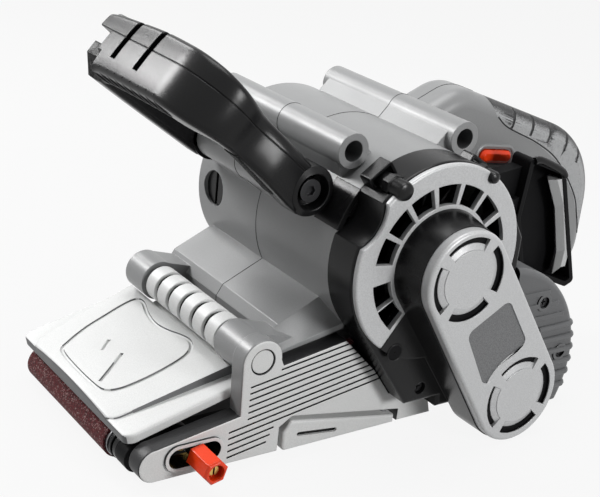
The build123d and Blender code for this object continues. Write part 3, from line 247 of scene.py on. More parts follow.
def grip_rubber(name):
    """Soft grip with a coarse dark grain, and a painted sheen that turns it pale where its side bulges."""
    material, tree, shader = start_material(name, {"Roughness": 0.42, "Specular IOR Level": 0.4})
    geometry = new_node(tree, "ShaderNodeNewGeometry")
    split = new_node(tree, "ShaderNodeSeparateXYZ")
    tree.links.new(geometry.outputs["Normal"], split.inputs["Vector"])
    # Painted sheen: faces that point along Y are made paler
    sides = combine(tree, "MULTIPLY", split.outputs["Y"], split.outputs["Y"])
    lightened = remap(tree, sides, 0.45, 0.98, -0.17, 0.26)
    grain = noise(tree, RUBBER_GRAIN, 3.0, 0.65)
    pale = remap(tree, combine(tree, "ADD", grain, lightened), 0.4, 0.76, 0.0, 1.0)
    tree.links.new(mix_colour(tree, pale, RUBBER_DARK, RUBBER_PALE), shader.inputs["Base Color"])
    tree.links.new(bump(tree, grain, 0.7, RUBBER_DEPTH), shader.inputs["Normal"])
    return material


def make_materials():
    made = (
        moulded("silver_plastic", (0.64, 0.645, 0.64), 0.42, 0.55, 0.35, 0.07),
        moulded("silver_paint", (0.50, 0.505, 0.51), 0.36, 0.6, 0.4, 0.12, metallic=0.15),
        moulded("grey_plastic", (0.235, 0.238, 0.24), 0.36, 0.45, 0.22, 0.06),
        moulded("black_plastic", (0.006, 0.006, 0.0064), 0.25, 0.5, 0.36, 0.12, 1.8, gloss=0.19),
        moulded("matt_black", (0.0045, 0.0045, 0.005), 0.5, 0.5, 0.3, 0.1, 1.5, gloss=0.07),
        moulded("dark_plastic", (0.105, 0.107, 0.11), 0.42, 0.5, 0.3, 0.1, 1.4, gloss=0.4),
        moulded("pale_plastic", (0.5, 0.505, 0.505), 0.42, 0.5, 0.25),
        moulded("red_plastic", (0.76, 0.044, 0.005), 0.28, 0.8, 0.06, 0.05, 1.15, gloss=0.35),
        moulded("black_rubber", (0.016, 0.016, 0.017), 0.45, 0.8, 0.9, 0.2, 1.4, gloss=0.3),
        grip_rubber("grip_rubber"),
        moulded("label_field", (0.13, 0.132, 0.135), 0.5, 0.7, 0.9, 0.35, 1.3),
        abrasive("abrasive"),
        moulded("cork_pad", (0.32, 0.2, 0.11), 0.8, 1.2, 0.8, 0.25, 1.0),
        turned_metal("cast_alloy", (0.42, 0.42, 0.43), 0.5, 0.8),
        turned_metal("plain_steel", (0.38, 0.38, 0.39), 0.32),
        turned_metal("dark_steel", (0.07, 0.07, 0.073), 0.4),
        turned_metal("yellow_brass", (0.70, 0.46, 0.14), 0.25),
        moulded("carbon", (0.03, 0.03, 0.033), 0.6, 0.4, 0.5, 0.2),
    )
    return {material.name.split(".")[0]: material for material in made}


materials = make_materials()
slot_of = {p["node"]: p["material_slot"] for p in frame["record"]["subparts"]}
for name, obj in nodes.items():
    obj.data.materials.clear()
    obj.data.materials.append(materials[slot_of[name]])
for name in ("base_frame", "handle_bolts", "body_screws", "cover_screws"):
    nodes[name].data.materials[0] = materials["dark_steel"]
for name in ("dust_port", "front_yoke"):
    nodes[name].data.materials[0] = materials["matt_black"]


# Mesh helpers: a shape is a pair of point and face lists
BEND_STEP = math.radians(5)
ALONG_Y = Vector((0, 1, 0))


def skin(rings, closed=False):
    """Skin over a row of rings with the same number of points, capped or joined up at its ends."""
    count = len(rings[0])
    points = [p for ring in rings for p in ring]
    faces = []
    for row in range(len(rings) if closed else len(rings) - 1):
        start = row * count
        onward = (row + 1) % len(rings) * count
        for k in range(count):
            after = (k + 1) % count
            faces.append((start + k, start + after, onward + after, onward + k))
    if not closed:
        faces.append(tuple(range(count))[::-1])
        faces.append(tuple((len(rings) - 1) * count + k for k in range(count)))
    return points, faces


def joined(*shapes):
    points = []
    faces = []
    for more_points, more_faces in shapes:
        start = len(points)
        points.extend(more_points)
        faces.extend(tuple(start + k for k in face) for face in more_faces)
    return points, faces


def around(centre, radius_mm, degrees, y):
    """Point on a circle about an axis along Y."""
    angle = math.radians(degrees)
    return Vector((centre.x + radius_mm * MM * math.cos(angle), y,
                   centre.z + radius_mm * MM * math.sin(angle)))


def offset_from(centre, dx, dz, y):
    """Side view place in millimetres from an axis, at a y in metres."""
    return Vector((centre.x + dx * MM, y, centre.z + dz * MM))


def tilted(degrees):
    """Direction in the side view, turned up from +X."""
    angle = math.radians(degrees)
    return Vector((math.cos(angle), 0, math.sin(angle)))


def turned(profile, centre, steps=64):
    """Body of revolution about the Y direction; the profile holds radius and y, in mm."""
    return skin([[around(centre, radius, 360 * k / steps, y * MM) for k in range(steps)]
                 for radius, y in profile])


def arch(centre, section, middle_deg, width_deg, steps=24):
    """Part of a ring about an axis along Y; the section holds radii in mm and y places in metres."""
    turns = [middle_deg + width_deg * (k / steps - 0.5) for k in range(steps + 1)]
    return skin([[around(centre, radius, turn, y) for radius, y in section] for turn in turns])


def block(inner, outer, right, left):
    """Square section of an arch."""
    return [(inner, right), (outer, right), (outer, left), (inner, left)]


def plate_between(outline, right, left):
    """Flat plate with a side view outline, between two y places."""
    return skin([[Vector((p.x, y, p.z)) for p in outline] for y in (right, left)])


def rod_along(path, radius, across, sides=8, closed=False):
    """Round rod along a path of points; across is any direction off the path."""
    count = len(path)
    rings = []
    for k, point in enumerate(path):
        after = path[(k + 1) % count] if closed else path[min(k + 1, count - 1)]
        before = path[k - 1] if closed else path[max(k - 1, 0)]
        ahead = after - before
        first = ahead.cross(across).normalized()
        second = ahead.cross(first).normalized()
        turns = [2 * math.pi * n / sides for n in range(sides)]
        rings.append([point + radius * (math.cos(a) * first + math.sin(a) * second) for a in turns])
    return skin(rings, closed)


def box_shape(origin, edges):
    """Box that starts at a corner and follows three edges."""
    first, second, third = edges
    low = [origin, origin + first, origin + first + second, origin + second]
    return skin([low, [p + third for p in low]])


def rounded_path(corners, radii, step):
    """Points along a polyline whose inner corners are rounded, with stretches of about one step."""
    path = [corners[0]]
    for before, corner, after, radius in zip(corners, corners[1:], corners[2:], radii):
        into = (corner - before).normalized()
        out = (after - corner).normalized()
        turn = into.angle(out)
        start = corner - into * radius * math.tan(turn / 2)
        aside = (out - into * into.dot(out)).normalized()
        centre = start + aside * radius
        count = max(3, math.ceil(turn / BEND_STEP))
        stretch_to(path, start, step)
        for k in range(1, count + 1):
            a = turn * k / count
            path.append(centre + radius * (math.sin(a) * into - math.cos(a) * aside))
    stretch_to(path, corners[-1], step)
    return path


def stretch_to(path, end, step):
    """Go on from the path's last point to an end in equal steps."""
    start = path[-1]
    count = max(1, round((end - start).length / step))
    path.extend(start.lerp(end, k / count) for k in range(1, count + 1))


def smooth_curve(points, closed=False, steps=6):
    """Smooth curve through the points."""
    count = len(points)
    spans = count if closed else count - 1
    curve = []
    for k in range(spans):
        a, b, c, d = (points[(k + n) % count] if closed else points[min(max(k + n, 0), count - 1)]
                      for n in (-1, 0, 1, 2))
        for step in range(steps):
            t = step / steps
            curve.append(0.5 * (2 * b + (c - a) * t + (2 * a - 5 * b + 4 * c - d) * t * t
                                + (3 * b - 3 * c + d - a) * t * t * t))
    if not closed:
        curve.append(points[-1])
    return curve


def bare_object(name, shape):
    mesh = bpy.data.meshes.new(name)
    mesh.from_pydata([tuple(p) for p in shape[0]], [], shape[1])
    soup = bmesh.new()
    soup.from_mesh(mesh)
    bmesh.ops.recalc_face_normals(soup, faces=soup.faces)
    soup.to_mesh(mesh)
    soup.free()
    return new_object(name, mesh)


def cut(obj, *shapes):
    """Take shapes out of an object's mesh."""
    for shape in shapes:
        tool = bare_object("tool", shape)
        step = obj.modifiers.new("cut", "BOOLEAN")
        step.operation = "DIFFERENCE"
        step.solver = "EXACT"
        step.object = tool
        graph = bpy.context.evaluated_depsgraph_get()
        done = bpy.data.meshes.new_from_object(obj.evaluated_get(graph))
        obj.modifiers.clear()
        obj.data = done
        bpy.data.objects.remove(tool)


def place(obj, material, body, smooth_deg=35, instead_of=()):
    """Give a piece its material, soft shading and the body that it moves with."""
    obj.data.materials.clear()
    obj.data.materials.append(materials[material])
    for polygon in obj.data.polygons:
        polygon.material_index = 0
    obj.data.shade_smooth()
    obj.data.set_sharp_from_angle(angle=math.radians(smooth_deg))
    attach(obj, body)
    if instead_of:
        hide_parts(*instead_of)
    return obj


def add_piece(name, shape, material, body, smooth_deg=35, instead_of=()):
    return place(bare_object(name, shape), material, body, smooth_deg, instead_of)


def paint(obj, material, chosen):
    """Give a second material to the faces chosen by their middle and direction."""
    obj.data.materials.append(materials[material])
    index = len(obj.data.materials) - 1
    for polygon in obj.data.polygons:
        if chosen(polygon.center, polygon.normal):
            polygon.material_index = index


def between(start, end, count):
    """Places that divide a stretch into equal steps, without its ends."""
    return [start + (end - start) * k / count for k in range(1, count)]


def blend(low, high, share):
    """Smooth change from low to high while the share goes from zero to one."""
    share = min(max(share, 0), 1)
    share = share * share * (3 - 2 * share)
    return low + (high - low) * share


def off_axis(point, axis):
    """Distance in mm from an axis along Y."""
    return math.hypot(point.x - axis.x, point.z - axis.z) / MM


# Front handle: a bar with its near arm, a separate far arm, two bosses and rows of finger ribs
HANDLE_TILT = 139.5
HANDLE_OUT = tilted(HANDLE_TILT)
HANDLE_UP = tilted(HANDLE_TILT - 90)
HANDLE_REACH = 85
HANDLE_SMOOTH = 32
BAR_STEP = 3
ARM_STEP = 6
BAND_HALF = 9
BAND_CROWN = 0.9
CROWN_SINK = 0.2
BAND_CORNER = 3.6
CORNER_STEPS = 5
NEAR_BEND = 27
PARTING_AT = 5
PARTING_HALF = 0.4
PARTING_DEPTH = 0.6
PARTING_FLOOR = 0.1
ARM_DIP = 5.6
ARM_DIP_AT = 51
ARM_DIP_HALF = 25
ARM_LEAN = 0.13
LEAN_FADE_AT = 30
LEAN_FADE = 40

# Edges of the band: distance walked from the far pivot, and distance from the band's middle
REAR_EDGE = ((0, 10), (60, 12), (80, 15.5), (100, 17), (135, 18.6), (178, 17.4), (196, 16), (224, 12.8),
             (246, 11.5), (268, 10.5))
FRONT_EDGE = ((0, 15), (81, 21), (100, 18.5), (150, 17.5), (185, 17), (220, 13.2), (250, 14), (265, 15))

# Cuts into the bar's outer face: depth, start and width along Y, lowest place and height
STEP_Y = 37
STEP_WIDTH = 30
STEP_DEPTH = 3.3
SLOTS = [(4, y, 5, -8.5, 30) for y in (16.5, -9)]
NOTCH = (17, STEP_Y, STEP_WIDTH, -3.5, 8.5)
STEP = (STEP_DEPTH, STEP_Y, STEP_WIDTH, -30, 27)
CHAMFER_DEPTH = 23
CHAMFER_LOW = -31
CHAMFER_LENGTH = 40
CHAMFER_EXTRA = 4
CUT_PAST = 4

# Bosses: the profile gives a radius and a depth below the boss's outer end
BOSS_R = 14.5
BOSS_BORE = 5
BOSS_RECESS = 8
BOSS_END = ((BOSS_R, 2.9), (BOSS_R - 0.4, 2.1), (10.6, 0.2), (10.2, 0.4), (10, 2), (9.6, BOSS_RECESS),
            (BOSS_BORE, BOSS_RECESS))
SEAT_R = BOSS_R - 0.1
SEAT_PAST = 6

# Finger ribs: each path gives places along a rib and steps in from the band's front edge
BAR_RIBS = 9
BAR_RIB_FIRST = 31
BAR_RIB_PITCH = 8.6
BAR_RIB_SLANT = 0.4
BAR_RIB_R = 1.1
BAR_RIB_PATH = ((-6, 1.4), (-4, 0.6), (-1, 0.2), (3, 0.2), (6, 0.9), (8.6, 3.4))
ARM_RIBS = 20
ARM_RIB_FIRST = 50
ARM_RIB_PITCH = 1.8
ARM_RIB_SLANT = 0.3
ARM_RIB_R = 0.55
ARM_RIB_INSET = 3
ARM_RIB_PATH = ((0, 0.7), (1.5, -0.05), (4, -0.3), (7, -0.3), (9, -0.05), (10, 0.7))


def handle_point(out, y, up):
    """Place in mm: out from the pivot along the arms, along Y, and up across the band."""
    return Vector((PIVOT.x, 0, PIVOT.z)) + (out * HANDLE_OUT + up * HANDLE_UP + y * ALONG_Y) * MM


def edge_reader(knots):
    """Function that gives the height of a band edge at a distance walked."""
    curve = smooth_curve([Vector((walked, height, 0)) for walked, height in knots])

    def height_at(walked):
        for a, b in zip(curve, curve[1:]):
            if walked <= b.x:
                return a.y + (b.y - a.y) * max(0, (walked - a.x) / (b.x - a.x))
        return curve[-1].y
    return height_at


rear_at = edge_reader(REAR_EDGE)
front_at = edge_reader(FRONT_EDGE)


def band_section(rear, front, outer, lean):
    """Rounded box section with a crowned, leaning outer face and a fine groove in it."""
    r = BAND_CORNER
    heart = (rear - front) / 2
    half = (rear + front) / 2
    corners = ((outer - r, r - front, -90), (outer - r, rear - r, 0), (r - BAND_HALF, rear - r, 90),
               (r - BAND_HALF, r - front, 180))
    arcs = []
    for o, n, start in corners:
        turns = [math.radians(start + 90 * k / CORNER_STEPS) for k in range(CORNER_STEPS + 1)]
        arcs.append([(o + r * math.cos(a), n + r * math.sin(a)) for a in turns])
    groove_low = PARTING_AT - PARTING_HALF
    groove_high = PARTING_AT + PARTING_HALF
    face = [(outer, n) for n in between(r - front, groove_low, 4) + [groove_low]]
    face += [(outer - PARTING_DEPTH, PARTING_AT + side * PARTING_FLOOR) for side in (-1, 1)]
    face += [(outer, n) for n in [groove_high] + between(groove_high, rear - r, 3)]
    face = [(o + BAND_CROWN * (1 - ((n - heart) / half) ** 2 - CROWN_SINK), n) for o, n in face]
    outside = [(o - lean * (n - heart), n) for o, n in arcs[0] + face + arcs[1]]
    return outside + arcs[2] + arcs[3]


def band_rings(path, far, near):
    """Sections of the band along a path."""
    rings = []
    for k, spot in enumerate(path):
        ahead = path[min(k + 1, len(path) - 1)] - path[max(k - 1, 0)]
        outwards = Vector((-ahead.y, ahead.x, 0)).normalized()
        near_side = spot.y < (far + near) / 2
        walked = far - spot.y + (2 * HANDLE_REACH - spot.x if near_side else spot.x)
        hollow = blend(1, 0, abs(spot.x - ARM_DIP_AT) / ARM_DIP_HALF) if near_side else 0
        lean = ARM_LEAN * blend(1, 0, (spot.x - LEAN_FADE_AT) / LEAN_FADE) if near_side else 0
        ring = []
        for o, n in band_section(rear_at(walked), front_at(walked), BAND_HALF - ARM_DIP * hollow, lean):
            place_now = spot + o * outwards
            ring.append(handle_point(place_now.x, place_now.y, n))
        rings.append(ring)
    return rings


def face_cut(depth, y, width, low, height):
    """Cutter into the bar's outer face."""
    corner = handle_point(HANDLE_REACH + BAND_HALF - depth, y, low)
    edges = (HANDLE_OUT * (depth + CUT_PAST) * MM, ALONG_Y * width * MM, HANDLE_UP * height * MM)
    return box_shape(corner, edges)


def chamfer_cut():
    """Cutter that slants over the lower corner of the bar's far end."""
    along = (HANDLE_OUT + HANDLE_UP).normalized()
    aside = (HANDLE_OUT - HANDLE_UP).normalized()
    corner = handle_point(HANDLE_REACH + BAND_HALF - CHAMFER_DEPTH, STEP_Y - CHAMFER_EXTRA, CHAMFER_LOW)
    width = STEP_WIDTH * MM
    return box_shape(corner, (along * CHAMFER_LENGTH * MM, ALONG_Y * width, aside * width))


def handle_cuts():
    """Slots over the bar's back edge, and the notch, step and chamfer of its far end."""
    return [face_cut(*sizes) for sizes in (*SLOTS, NOTCH, STEP)] + [chamfer_cut()]


def boss_seats(far, near):
    """Round seats for the bosses in the outer sides of both arms."""
    shapes = []
    for middle_y, side in ((far, 1), (near, -1)):
        outer = middle_y + side * BAND_HALF
        ends = (outer - side * BOSS_RECESS, outer + side * SEAT_PAST)
        shapes.append(turned([(SEAT_R, y) for y in ends], PIVOT, 48))
    return shapes


def handle_band(name, path, far, near, replaced=()):
    handle = bare_object(name, skin(band_rings(path, far, near)))
    cut(handle, *handle_cuts(), *boss_seats(far, near))
    place(handle, "black_plastic", "bail", HANDLE_SMOOTH, replaced)


def handle_boss(name, inner, outer):
    """Conical boss with a recess in its outer end."""
    side = 1 if outer > inner else -1
    profile = [(BOSS_BORE, inner), (BOSS_R, inner)]
    profile += [(radius, outer - side * depth) for radius, depth in BOSS_END]
    add_piece(name, turned(profile, PIVOT), "black_plastic", "bail", HANDLE_SMOOTH)


def finger_ribs(far, near):
    """Rows of small ribs under the bar and on the near arm's front edge."""
    ribs = []
    for k in range(BAR_RIBS):
        y = BAR_RIB_FIRST - k * BAR_RIB_PITCH
        edge = -front_at(HANDLE_REACH + far - y)
        path = [handle_point(HANDLE_REACH + out, y + BAR_RIB_SLANT * out, edge + dip)
                for out, dip in BAR_RIB_PATH]
        ribs.append(rod_along(path, BAR_RIB_R * MM, ALONG_Y, 10))
    for k in range(ARM_RIBS):
        out = ARM_RIB_FIRST - k * ARM_RIB_PITCH
        edge = -front_at(far - near + 2 * HANDLE_REACH - out)
        path = [handle_point(out + y * ARM_RIB_SLANT, near - ARM_RIB_INSET + y, edge + lift)
                for y, lift in ARM_RIB_PATH]
        ribs.append(rod_along(path, ARM_RIB_R * MM, HANDLE_UP, 6))
    add_piece("handle_ribs", joined(*ribs), "black_plastic", "bail")


def front_handle():
    low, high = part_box("front_handle")
    far = high.y / MM - BAND_HALF
    near = low.y / MM + BAND_HALF
    bar_ends = ((HANDLE_REACH, far + BAND_HALF), (HANDLE_REACH, near), (0, near))
    arm_ends = ((0, far), (HANDLE_REACH + BAND_HALF - STEP_DEPTH, far))
    bar, arm = ([Vector((out, y, 0)) for out, y in ends] for ends in (bar_ends, arm_ends))
    bar_path = rounded_path(bar, (NEAR_BEND,), BAR_STEP)
    handle_band("front_handle_dressed", bar_path, far, near, ("front_handle",))
    handle_band("handle_far_arm", rounded_path(arm, (), ARM_STEP), far, near)
    handle_boss("handle_boss_far", far - BAND_HALF, high.y / MM)
    handle_boss("handle_boss_near", near + BAND_HALF, low.y / MM)
    finger_ribs(far, near)


# Nose cover: a wedge shaped pad on a plate, with a contour groove and a ribbed knuckle
NOSE_TILT = 14.5
NOSE_ALONG = tilted(NOSE_TILT)
NOSE_UP = tilted(NOSE_TILT + 90)
NOSE_LIP = Vector((FRONT.x / MM - 11.8, 0, FRONT.z / MM + 17.2))
NOSE_LENGTH = 73
NOSE_THICK = 5.2
NOSE_CORNER = 6
NOSE_EDGE = 1.5
EDGE_STEPS = (0, 0.12, 0.4, 0.85, NOSE_EDGE)
NOSE_ROWS = 40
NEAR_COLUMNS = 8
PAD_COLUMNS = 60
FAR_COLUMNS = 6

# Raised pad: insets from the plate's sides at the lip, and how much they shrink towards the back
PAD_NEAR_INSET = 19
PAD_NEAR_TAPER = 7
PAD_FAR_INSET = 15
PAD_FAR_TAPER = 10
PAD_CORNER = 7
PAD_REAR_RISE = 5
PAD_FRONT_RISE = 3.6
PAD_SIDE_RISE = 0.7
PAD_WALL = 0.8
WALL_STEPS = (0, 0.25, 0.75, 1)
WALL_INSET = 8

# Contour line and two dashes: distance from the lip, and y
CONTOUR = ((9, 18), (16, 24), (30, 30), (44, 33), (58, 35.5), (66, 35), (68, 29), (64, 16), (62, 3),
           (63.5, -8), (67, -19), (68, -27), (65, -34), (58, -38.5), (46, -40.5), (32, -41), (18, -39.5),
           (10, -35), (7.5, -26), (7, -4))
DASHES = (((34, 7), (30, 3.6), (26, 0)), ((33, -11), (22, -19), (11.5, -26)))
GROOVE_R = 1.15

# Knuckle and its web: a ring's side has depths and steps, the web has places past the plate and lifts
KNUCKLE_RIGHT = 25
KNUCKLE_LEFT = -56.5
KNUCKLE_R = 10.5
KNUCKLE_BORE = 3.2
RING_COUNT = 6
RING_GAP = 1.5
RING_DEPTH = 1.5
RING_SIDE = ((RING_DEPTH, 0), (0.4, 0.05), (0, 0.45))
WEB_POINTS = ((-5, 4), (2.5, 4.7), (4, 7.4), (10, 7.4), (9, -2), (6, -NOSE_THICK), (-5, -NOSE_THICK))


def nose_point(s, y, lift):
    """Place in mm: distance from the lip, y, and lift above the plate."""
    return (NOSE_LIP + s * NOSE_ALONG + lift * NOSE_UP + Vector((0, y, 0))) * MM


def corner_inset(s, radius):
    """How far a rounded corner draws back at a distance from its end."""
    if s >= radius:
        return 0
    return radius - math.sqrt(radius * radius - (radius - s) ** 2)


def pad_sides(s, low, high):
    """Near and far side of the raised pad at a distance from the lip."""
    share = s / NOSE_LENGTH
    inset = corner_inset(s, PAD_CORNER)
    near = low + PAD_NEAR_INSET - PAD_NEAR_TAPER * share + inset
    far = high - PAD_FAR_INSET + PAD_FAR_TAPER * share - inset
    return near, far


def pad_lift(s, y, near, far):
    """Height of the pad, which is crowned at the lip and level at the back."""
    share = s / NOSE_LENGTH
    across = min(1, abs(2 * (y - near) / (far - near) - 1))
    front = PAD_SIDE_RISE + PAD_FRONT_RISE * (1 - across ** 2)
    return front + (PAD_REAR_RISE - front) * share


def nose_rows():
    main = between(NOSE_EDGE, NOSE_LENGTH - NOSE_EDGE, NOSE_ROWS)
    return [*EDGE_STEPS, *main] + [NOSE_LENGTH - s for s in EDGE_STEPS[::-1]]


def nose_columns(s, low, high):
    """Side places and lifts of one row of the cover's top."""
    inset = corner_inset(s, NOSE_CORNER)
    left, right = low + inset, high - inset
    near, far = pad_sides(s, low, high)
    places = [left + f for f in EDGE_STEPS]
    places += between(left + NOSE_EDGE, near - PAD_WALL, NEAR_COLUMNS)
    places += [near - PAD_WALL + PAD_WALL * r for r in WALL_STEPS]
    places += between(near, far, PAD_COLUMNS)
    places += [far + PAD_WALL * r for r in WALL_STEPS]
    places += between(far + PAD_WALL, right - NOSE_EDGE, FAR_COLUMNS)
    places += [right - f for f in EDGE_STEPS[::-1]]
    row = []
    for y in places:
        off_pad = max(near - y, y - far, 0) / PAD_WALL
        lift = blend(pad_lift(s, min(max(y, near), far), near, far), 0, off_pad)
        edge = min(s, NOSE_LENGTH - s, y - left, right - y)
        if edge < NOSE_EDGE:
            lift -= corner_inset(max(edge, 0), NOSE_EDGE)
        row.append((y, lift))
    return row


def nose_shape(low, high):
    """Top of the cover as a grid, closed by side walls and a flat underside."""
    rows = nose_rows()
    columns = [nose_columns(s, low, high) for s in rows]
    count = len(columns[0])
    last = len(rows) - 1
    top = [nose_point(s, y, lift) for s, row in zip(rows, columns) for y, lift in row]
    rim = [(0, k) for k in range(count)] + [(r, count - 1) for r in range(1, last + 1)]
    rim += [(last, k) for k in range(count - 2, -1, -1)] + [(r, 0) for r in range(last - 1, 0, -1)]
    under = [nose_point(rows[r], columns[r][k][0], -NOSE_THICK) for r, k in rim]
    faces = []
    for r in range(last):
        for k in range(count - 1):
            first = r * count + k
            faces.append((first, first + 1, first + count + 1, first + count))
    start = len(top)
    for n, (r, k) in enumerate(rim):
        m = (n + 1) % len(rim)
        faces.append((r * count + k, rim[m][0] * count + rim[m][1], start + m, start + n))
    faces.append(tuple(start + n for n in range(len(rim))))
    return top + under, faces


def contour_grooves(low, high):
    """Closed contour line round the pad's middle, and two short plain grooves."""
    lines = [(CONTOUR, True)] + [(dash, False) for dash in DASHES]
    shapes = []
    for spots, closed in lines:
        path = []
        for p in smooth_curve([Vector((s, y, 0)) for s, y in spots], closed):
            near, far = pad_sides(p.x, low, high)
            path.append(nose_point(p.x, p.y, pad_lift(p.x, p.y, near, far)))
        shapes.append(rod_along(path, GROOVE_R * MM, NOSE_UP, 8, closed))
    return shapes


def nose_cover():
    box_low, box_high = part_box("nose_cover")
    low, high = box_low.y / MM, box_high.y / MM
    plate = bare_object("nose_cover_dressed", nose_shape(low, high))
    cut(plate, *contour_grooves(low, high))
    place(plate, "silver_plastic", "nose", 38, ("nose_cover",))
    # The pad's near wall is painted dark grey as painted shade
    wall_from = low + WALL_INSET
    paint(plate, "dark_plastic", lambda at, facing: facing.y < -0.75 and at.y / MM > wall_from)
    # The front lip is painted dark grey as painted shade
    paint(plate, "dark_plastic", lambda at, facing: facing.dot(NOSE_ALONG) < -0.8)
    knuckle()
    nose_web()


def knuckle():
    """Ribbed knuckle on the hinge pin."""
    pitch = (KNUCKLE_RIGHT - KNUCKLE_LEFT) / RING_COUNT
    floor_r = KNUCKLE_R - RING_DEPTH
    profile = [(KNUCKLE_BORE, KNUCKLE_RIGHT), (floor_r, KNUCKLE_RIGHT)]
    for ring in range(RING_COUNT):
        right = KNUCKLE_RIGHT - ring * pitch - RING_GAP
        left = KNUCKLE_RIGHT - (ring + 1) * pitch + RING_GAP
        profile += [(KNUCKLE_R - depth, right - step) for depth, step in RING_SIDE]
        profile += [(KNUCKLE_R - depth, left + step) for depth, step in RING_SIDE[::-1]]
    profile += [(floor_r, KNUCKLE_LEFT), (KNUCKLE_BORE, KNUCKLE_LEFT)]
    rings = add_piece("nose_knuckle", turned(profile, HINGE, 72), "silver_plastic", "nose", 40)
    # The floors between the rings are painted black as painted shade
    paint(rings, "black_plastic", lambda at, facing: abs(off_axis(at, HINGE) - floor_r) < 0.2)


def nose_web():
    """Web that joins the plate and its knuckle."""
    outline = [nose_point(NOSE_LENGTH + s, 0, lift) for s, lift in WEB_POINTS]
    web = plate_between(outline, KNUCKLE_RIGHT * MM, KNUCKLE_LEFT * MM)
    add_piece("nose_web", web, "silver_plastic", "nose")


# Plain face of the hinge pin's cap, with the pin's face round it painted black as the shade of a groove
AXIS_R = 0.3
CAP_FACE_R = 6.8
CAP_PROUD = 0.4
CAP_SUNK = 1
CAP_EDGE = 0.3


def pin_cap():
    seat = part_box("hinge_pin")[0].y / MM
    profile = [(AXIS_R, seat + CAP_SUNK), (CAP_FACE_R, seat + CAP_SUNK), (CAP_FACE_R, seat - 0.1),
               (CAP_FACE_R - CAP_EDGE, seat - CAP_PROUD + 0.05), (AXIS_R, seat - CAP_PROUD)]
    add_piece("pin_cap_face", turned(profile, HINGE, 48), "silver_plastic", "base")
    # The pin's outer face is painted black as painted shade round the cap
    paint(nodes["hinge_pin"], "black_plastic", lambda at, facing: facing.y < -0.9)


# Rubber of the rear grip: cross grooves on its top and a border along its near edge
GRIP_TOP = ((66, 138.3), (84, 131.9), (101, 125.6), (118, 118.5), (132, 109))
GRIP_BACK = Vector((0.333, 0, 0.943))
GRIP_SPINE = 16
GRIP_GROOVE_R = 1.35
GRIP_LEAN = 0.08
GRIP_TURN = 8
GRIP_TURNS = 13
GRIP_EDGE = ((50.2, 134.4), (60.7, 126.4), (89.7, 113.4), (111.7, 98.9), (132.7, 73.9), (139.7, 57.4),
             (144.7, 43.4))
BORDER_R = 0.5
RAY_FROM = 80
BORDER_RAY_Y = -100


def weld(obj):
    """Join the doubled points along a piece's edges."""
    soup = bmesh.new()
    soup.from_mesh(obj.data)
    bmesh.ops.remove_doubles(soup, verts=soup.verts, dist=0.002 * MM)
    soup.to_mesh(obj.data)
    soup.free()


def hits(tree, rays):
    """Places where rays, given by start and direction, meet a surface."""
    found = [tree.ray_cast(start, towards)[0] for start, towards in rays]
    return [hit for hit in found if hit is not None]


def cross_groove(tree, dx, dz):
    """Path of one groove over the top of the grip."""
    spine = offset_from(DRIVE, dx, dz, SEAM_Y) - GRIP_BACK * GRIP_SPINE * MM
    rays = []
    for k in range(1, GRIP_TURNS + 1):
        angle = math.radians(GRIP_TURN * k)
        ray = Vector((GRIP_LEAN, -math.cos(angle), 0)) + GRIP_BACK * math.sin(angle)
        ray.normalize()
        rays.append((spine + ray * RAY_FROM * MM, -ray))
    return hits(tree, rays)


def grip_grooves():
    source = nodes["rear_grip"]
    tree = BVHTree.FromPolygons([v.co for v in source.data.vertices],
                                [p.vertices for p in source.data.polygons])
    grip = new_object("rear_grip_dressed", source.data.copy())
    weld(grip)
    paths = [cross_groove(tree, dx, dz) for dx, dz in GRIP_TOP]
    along_x = Vector((1, 0, 0))
    cut(grip, *[rod_along(path, GRIP_GROOVE_R * MM, along_x, 8) for path in paths if len(path) > 3])
    place(grip, "grip_rubber", "base", 35, ("rear_grip",))
    edge = smooth_curve([offset_from(DRIVE, dx, dz, BORDER_RAY_Y * MM) for dx, dz in GRIP_EDGE])
    border = hits(tree, [(p, ALONG_Y) for p in edge])
    add_piece("grip_border", rod_along(border, BORDER_R * MM, ALONG_Y, 6), "black_rubber", "base")


# Clips of the fan cover: a round ended barrel, a faceted bracket and a square frame each
CLIPS = ((126, 57, 5.4), (58, 55.5, 3.6))
CLIP_PROUD = 3.4
CLIP_ROOT = 3
CLIP_TIP_R = 0.4
CLIP_END = ((0, 2.4), (0.6, 0.9), (2, 0.2))
BRACKET_FRONT = 18
BRACKET_BACK = 13
BRACKET_SUNK = 1
BRACKET_PROUD = 1.2
BRACKET_TURN = 150
BRACKET_FACETS = 3
FRAME_DEPTH = 9
FRAME_IN = 1.2
FRAME_OUT = 2.8
FRAME_CORNER = 1


def clip_barrel(centre, r, back):
    root = back / MM - CLIP_ROOT
    tip = FAN_Y / MM - CLIP_PROUD
    profile = [(CLIP_TIP_R, root), (r, root)]
    profile += [(r - inset, tip + step) for inset, step in CLIP_END]
    profile.append((CLIP_TIP_R, tip))
    return turned(profile, centre, 40)


def clip_bracket(centre, angle, r, back):
    ends = (back - BRACKET_BACK * MM, back - BRACKET_FRONT * MM)
    section = block(r - BRACKET_SUNK, r + BRACKET_PROUD, *ends)
    return arch(centre, section, angle, BRACKET_TURN, BRACKET_FACETS)


def clip_frame(centre, angle, r, back):
    """Square frame round the barrel's root, open towards the motor."""
    out = around(MOTOR, 1, angle, 0) - Vector((MOTOR.x, 0, MOTOR.z))
    aside = out.cross(ALONG_Y)
    a, b, c = r + FRAME_IN, r + FRAME_OUT, r + FRAME_OUT - FRAME_CORNER
    outline = ((-b, -r), (-b, c), (-c, b), (c, b), (b, c), (b, -r), (a, -r), (a, a), (-a, a), (-a, -r))
    section = [centre + out * high + aside * wide for wide, high in outline]
    return plate_between(section, back, back - FRAME_DEPTH * MM)


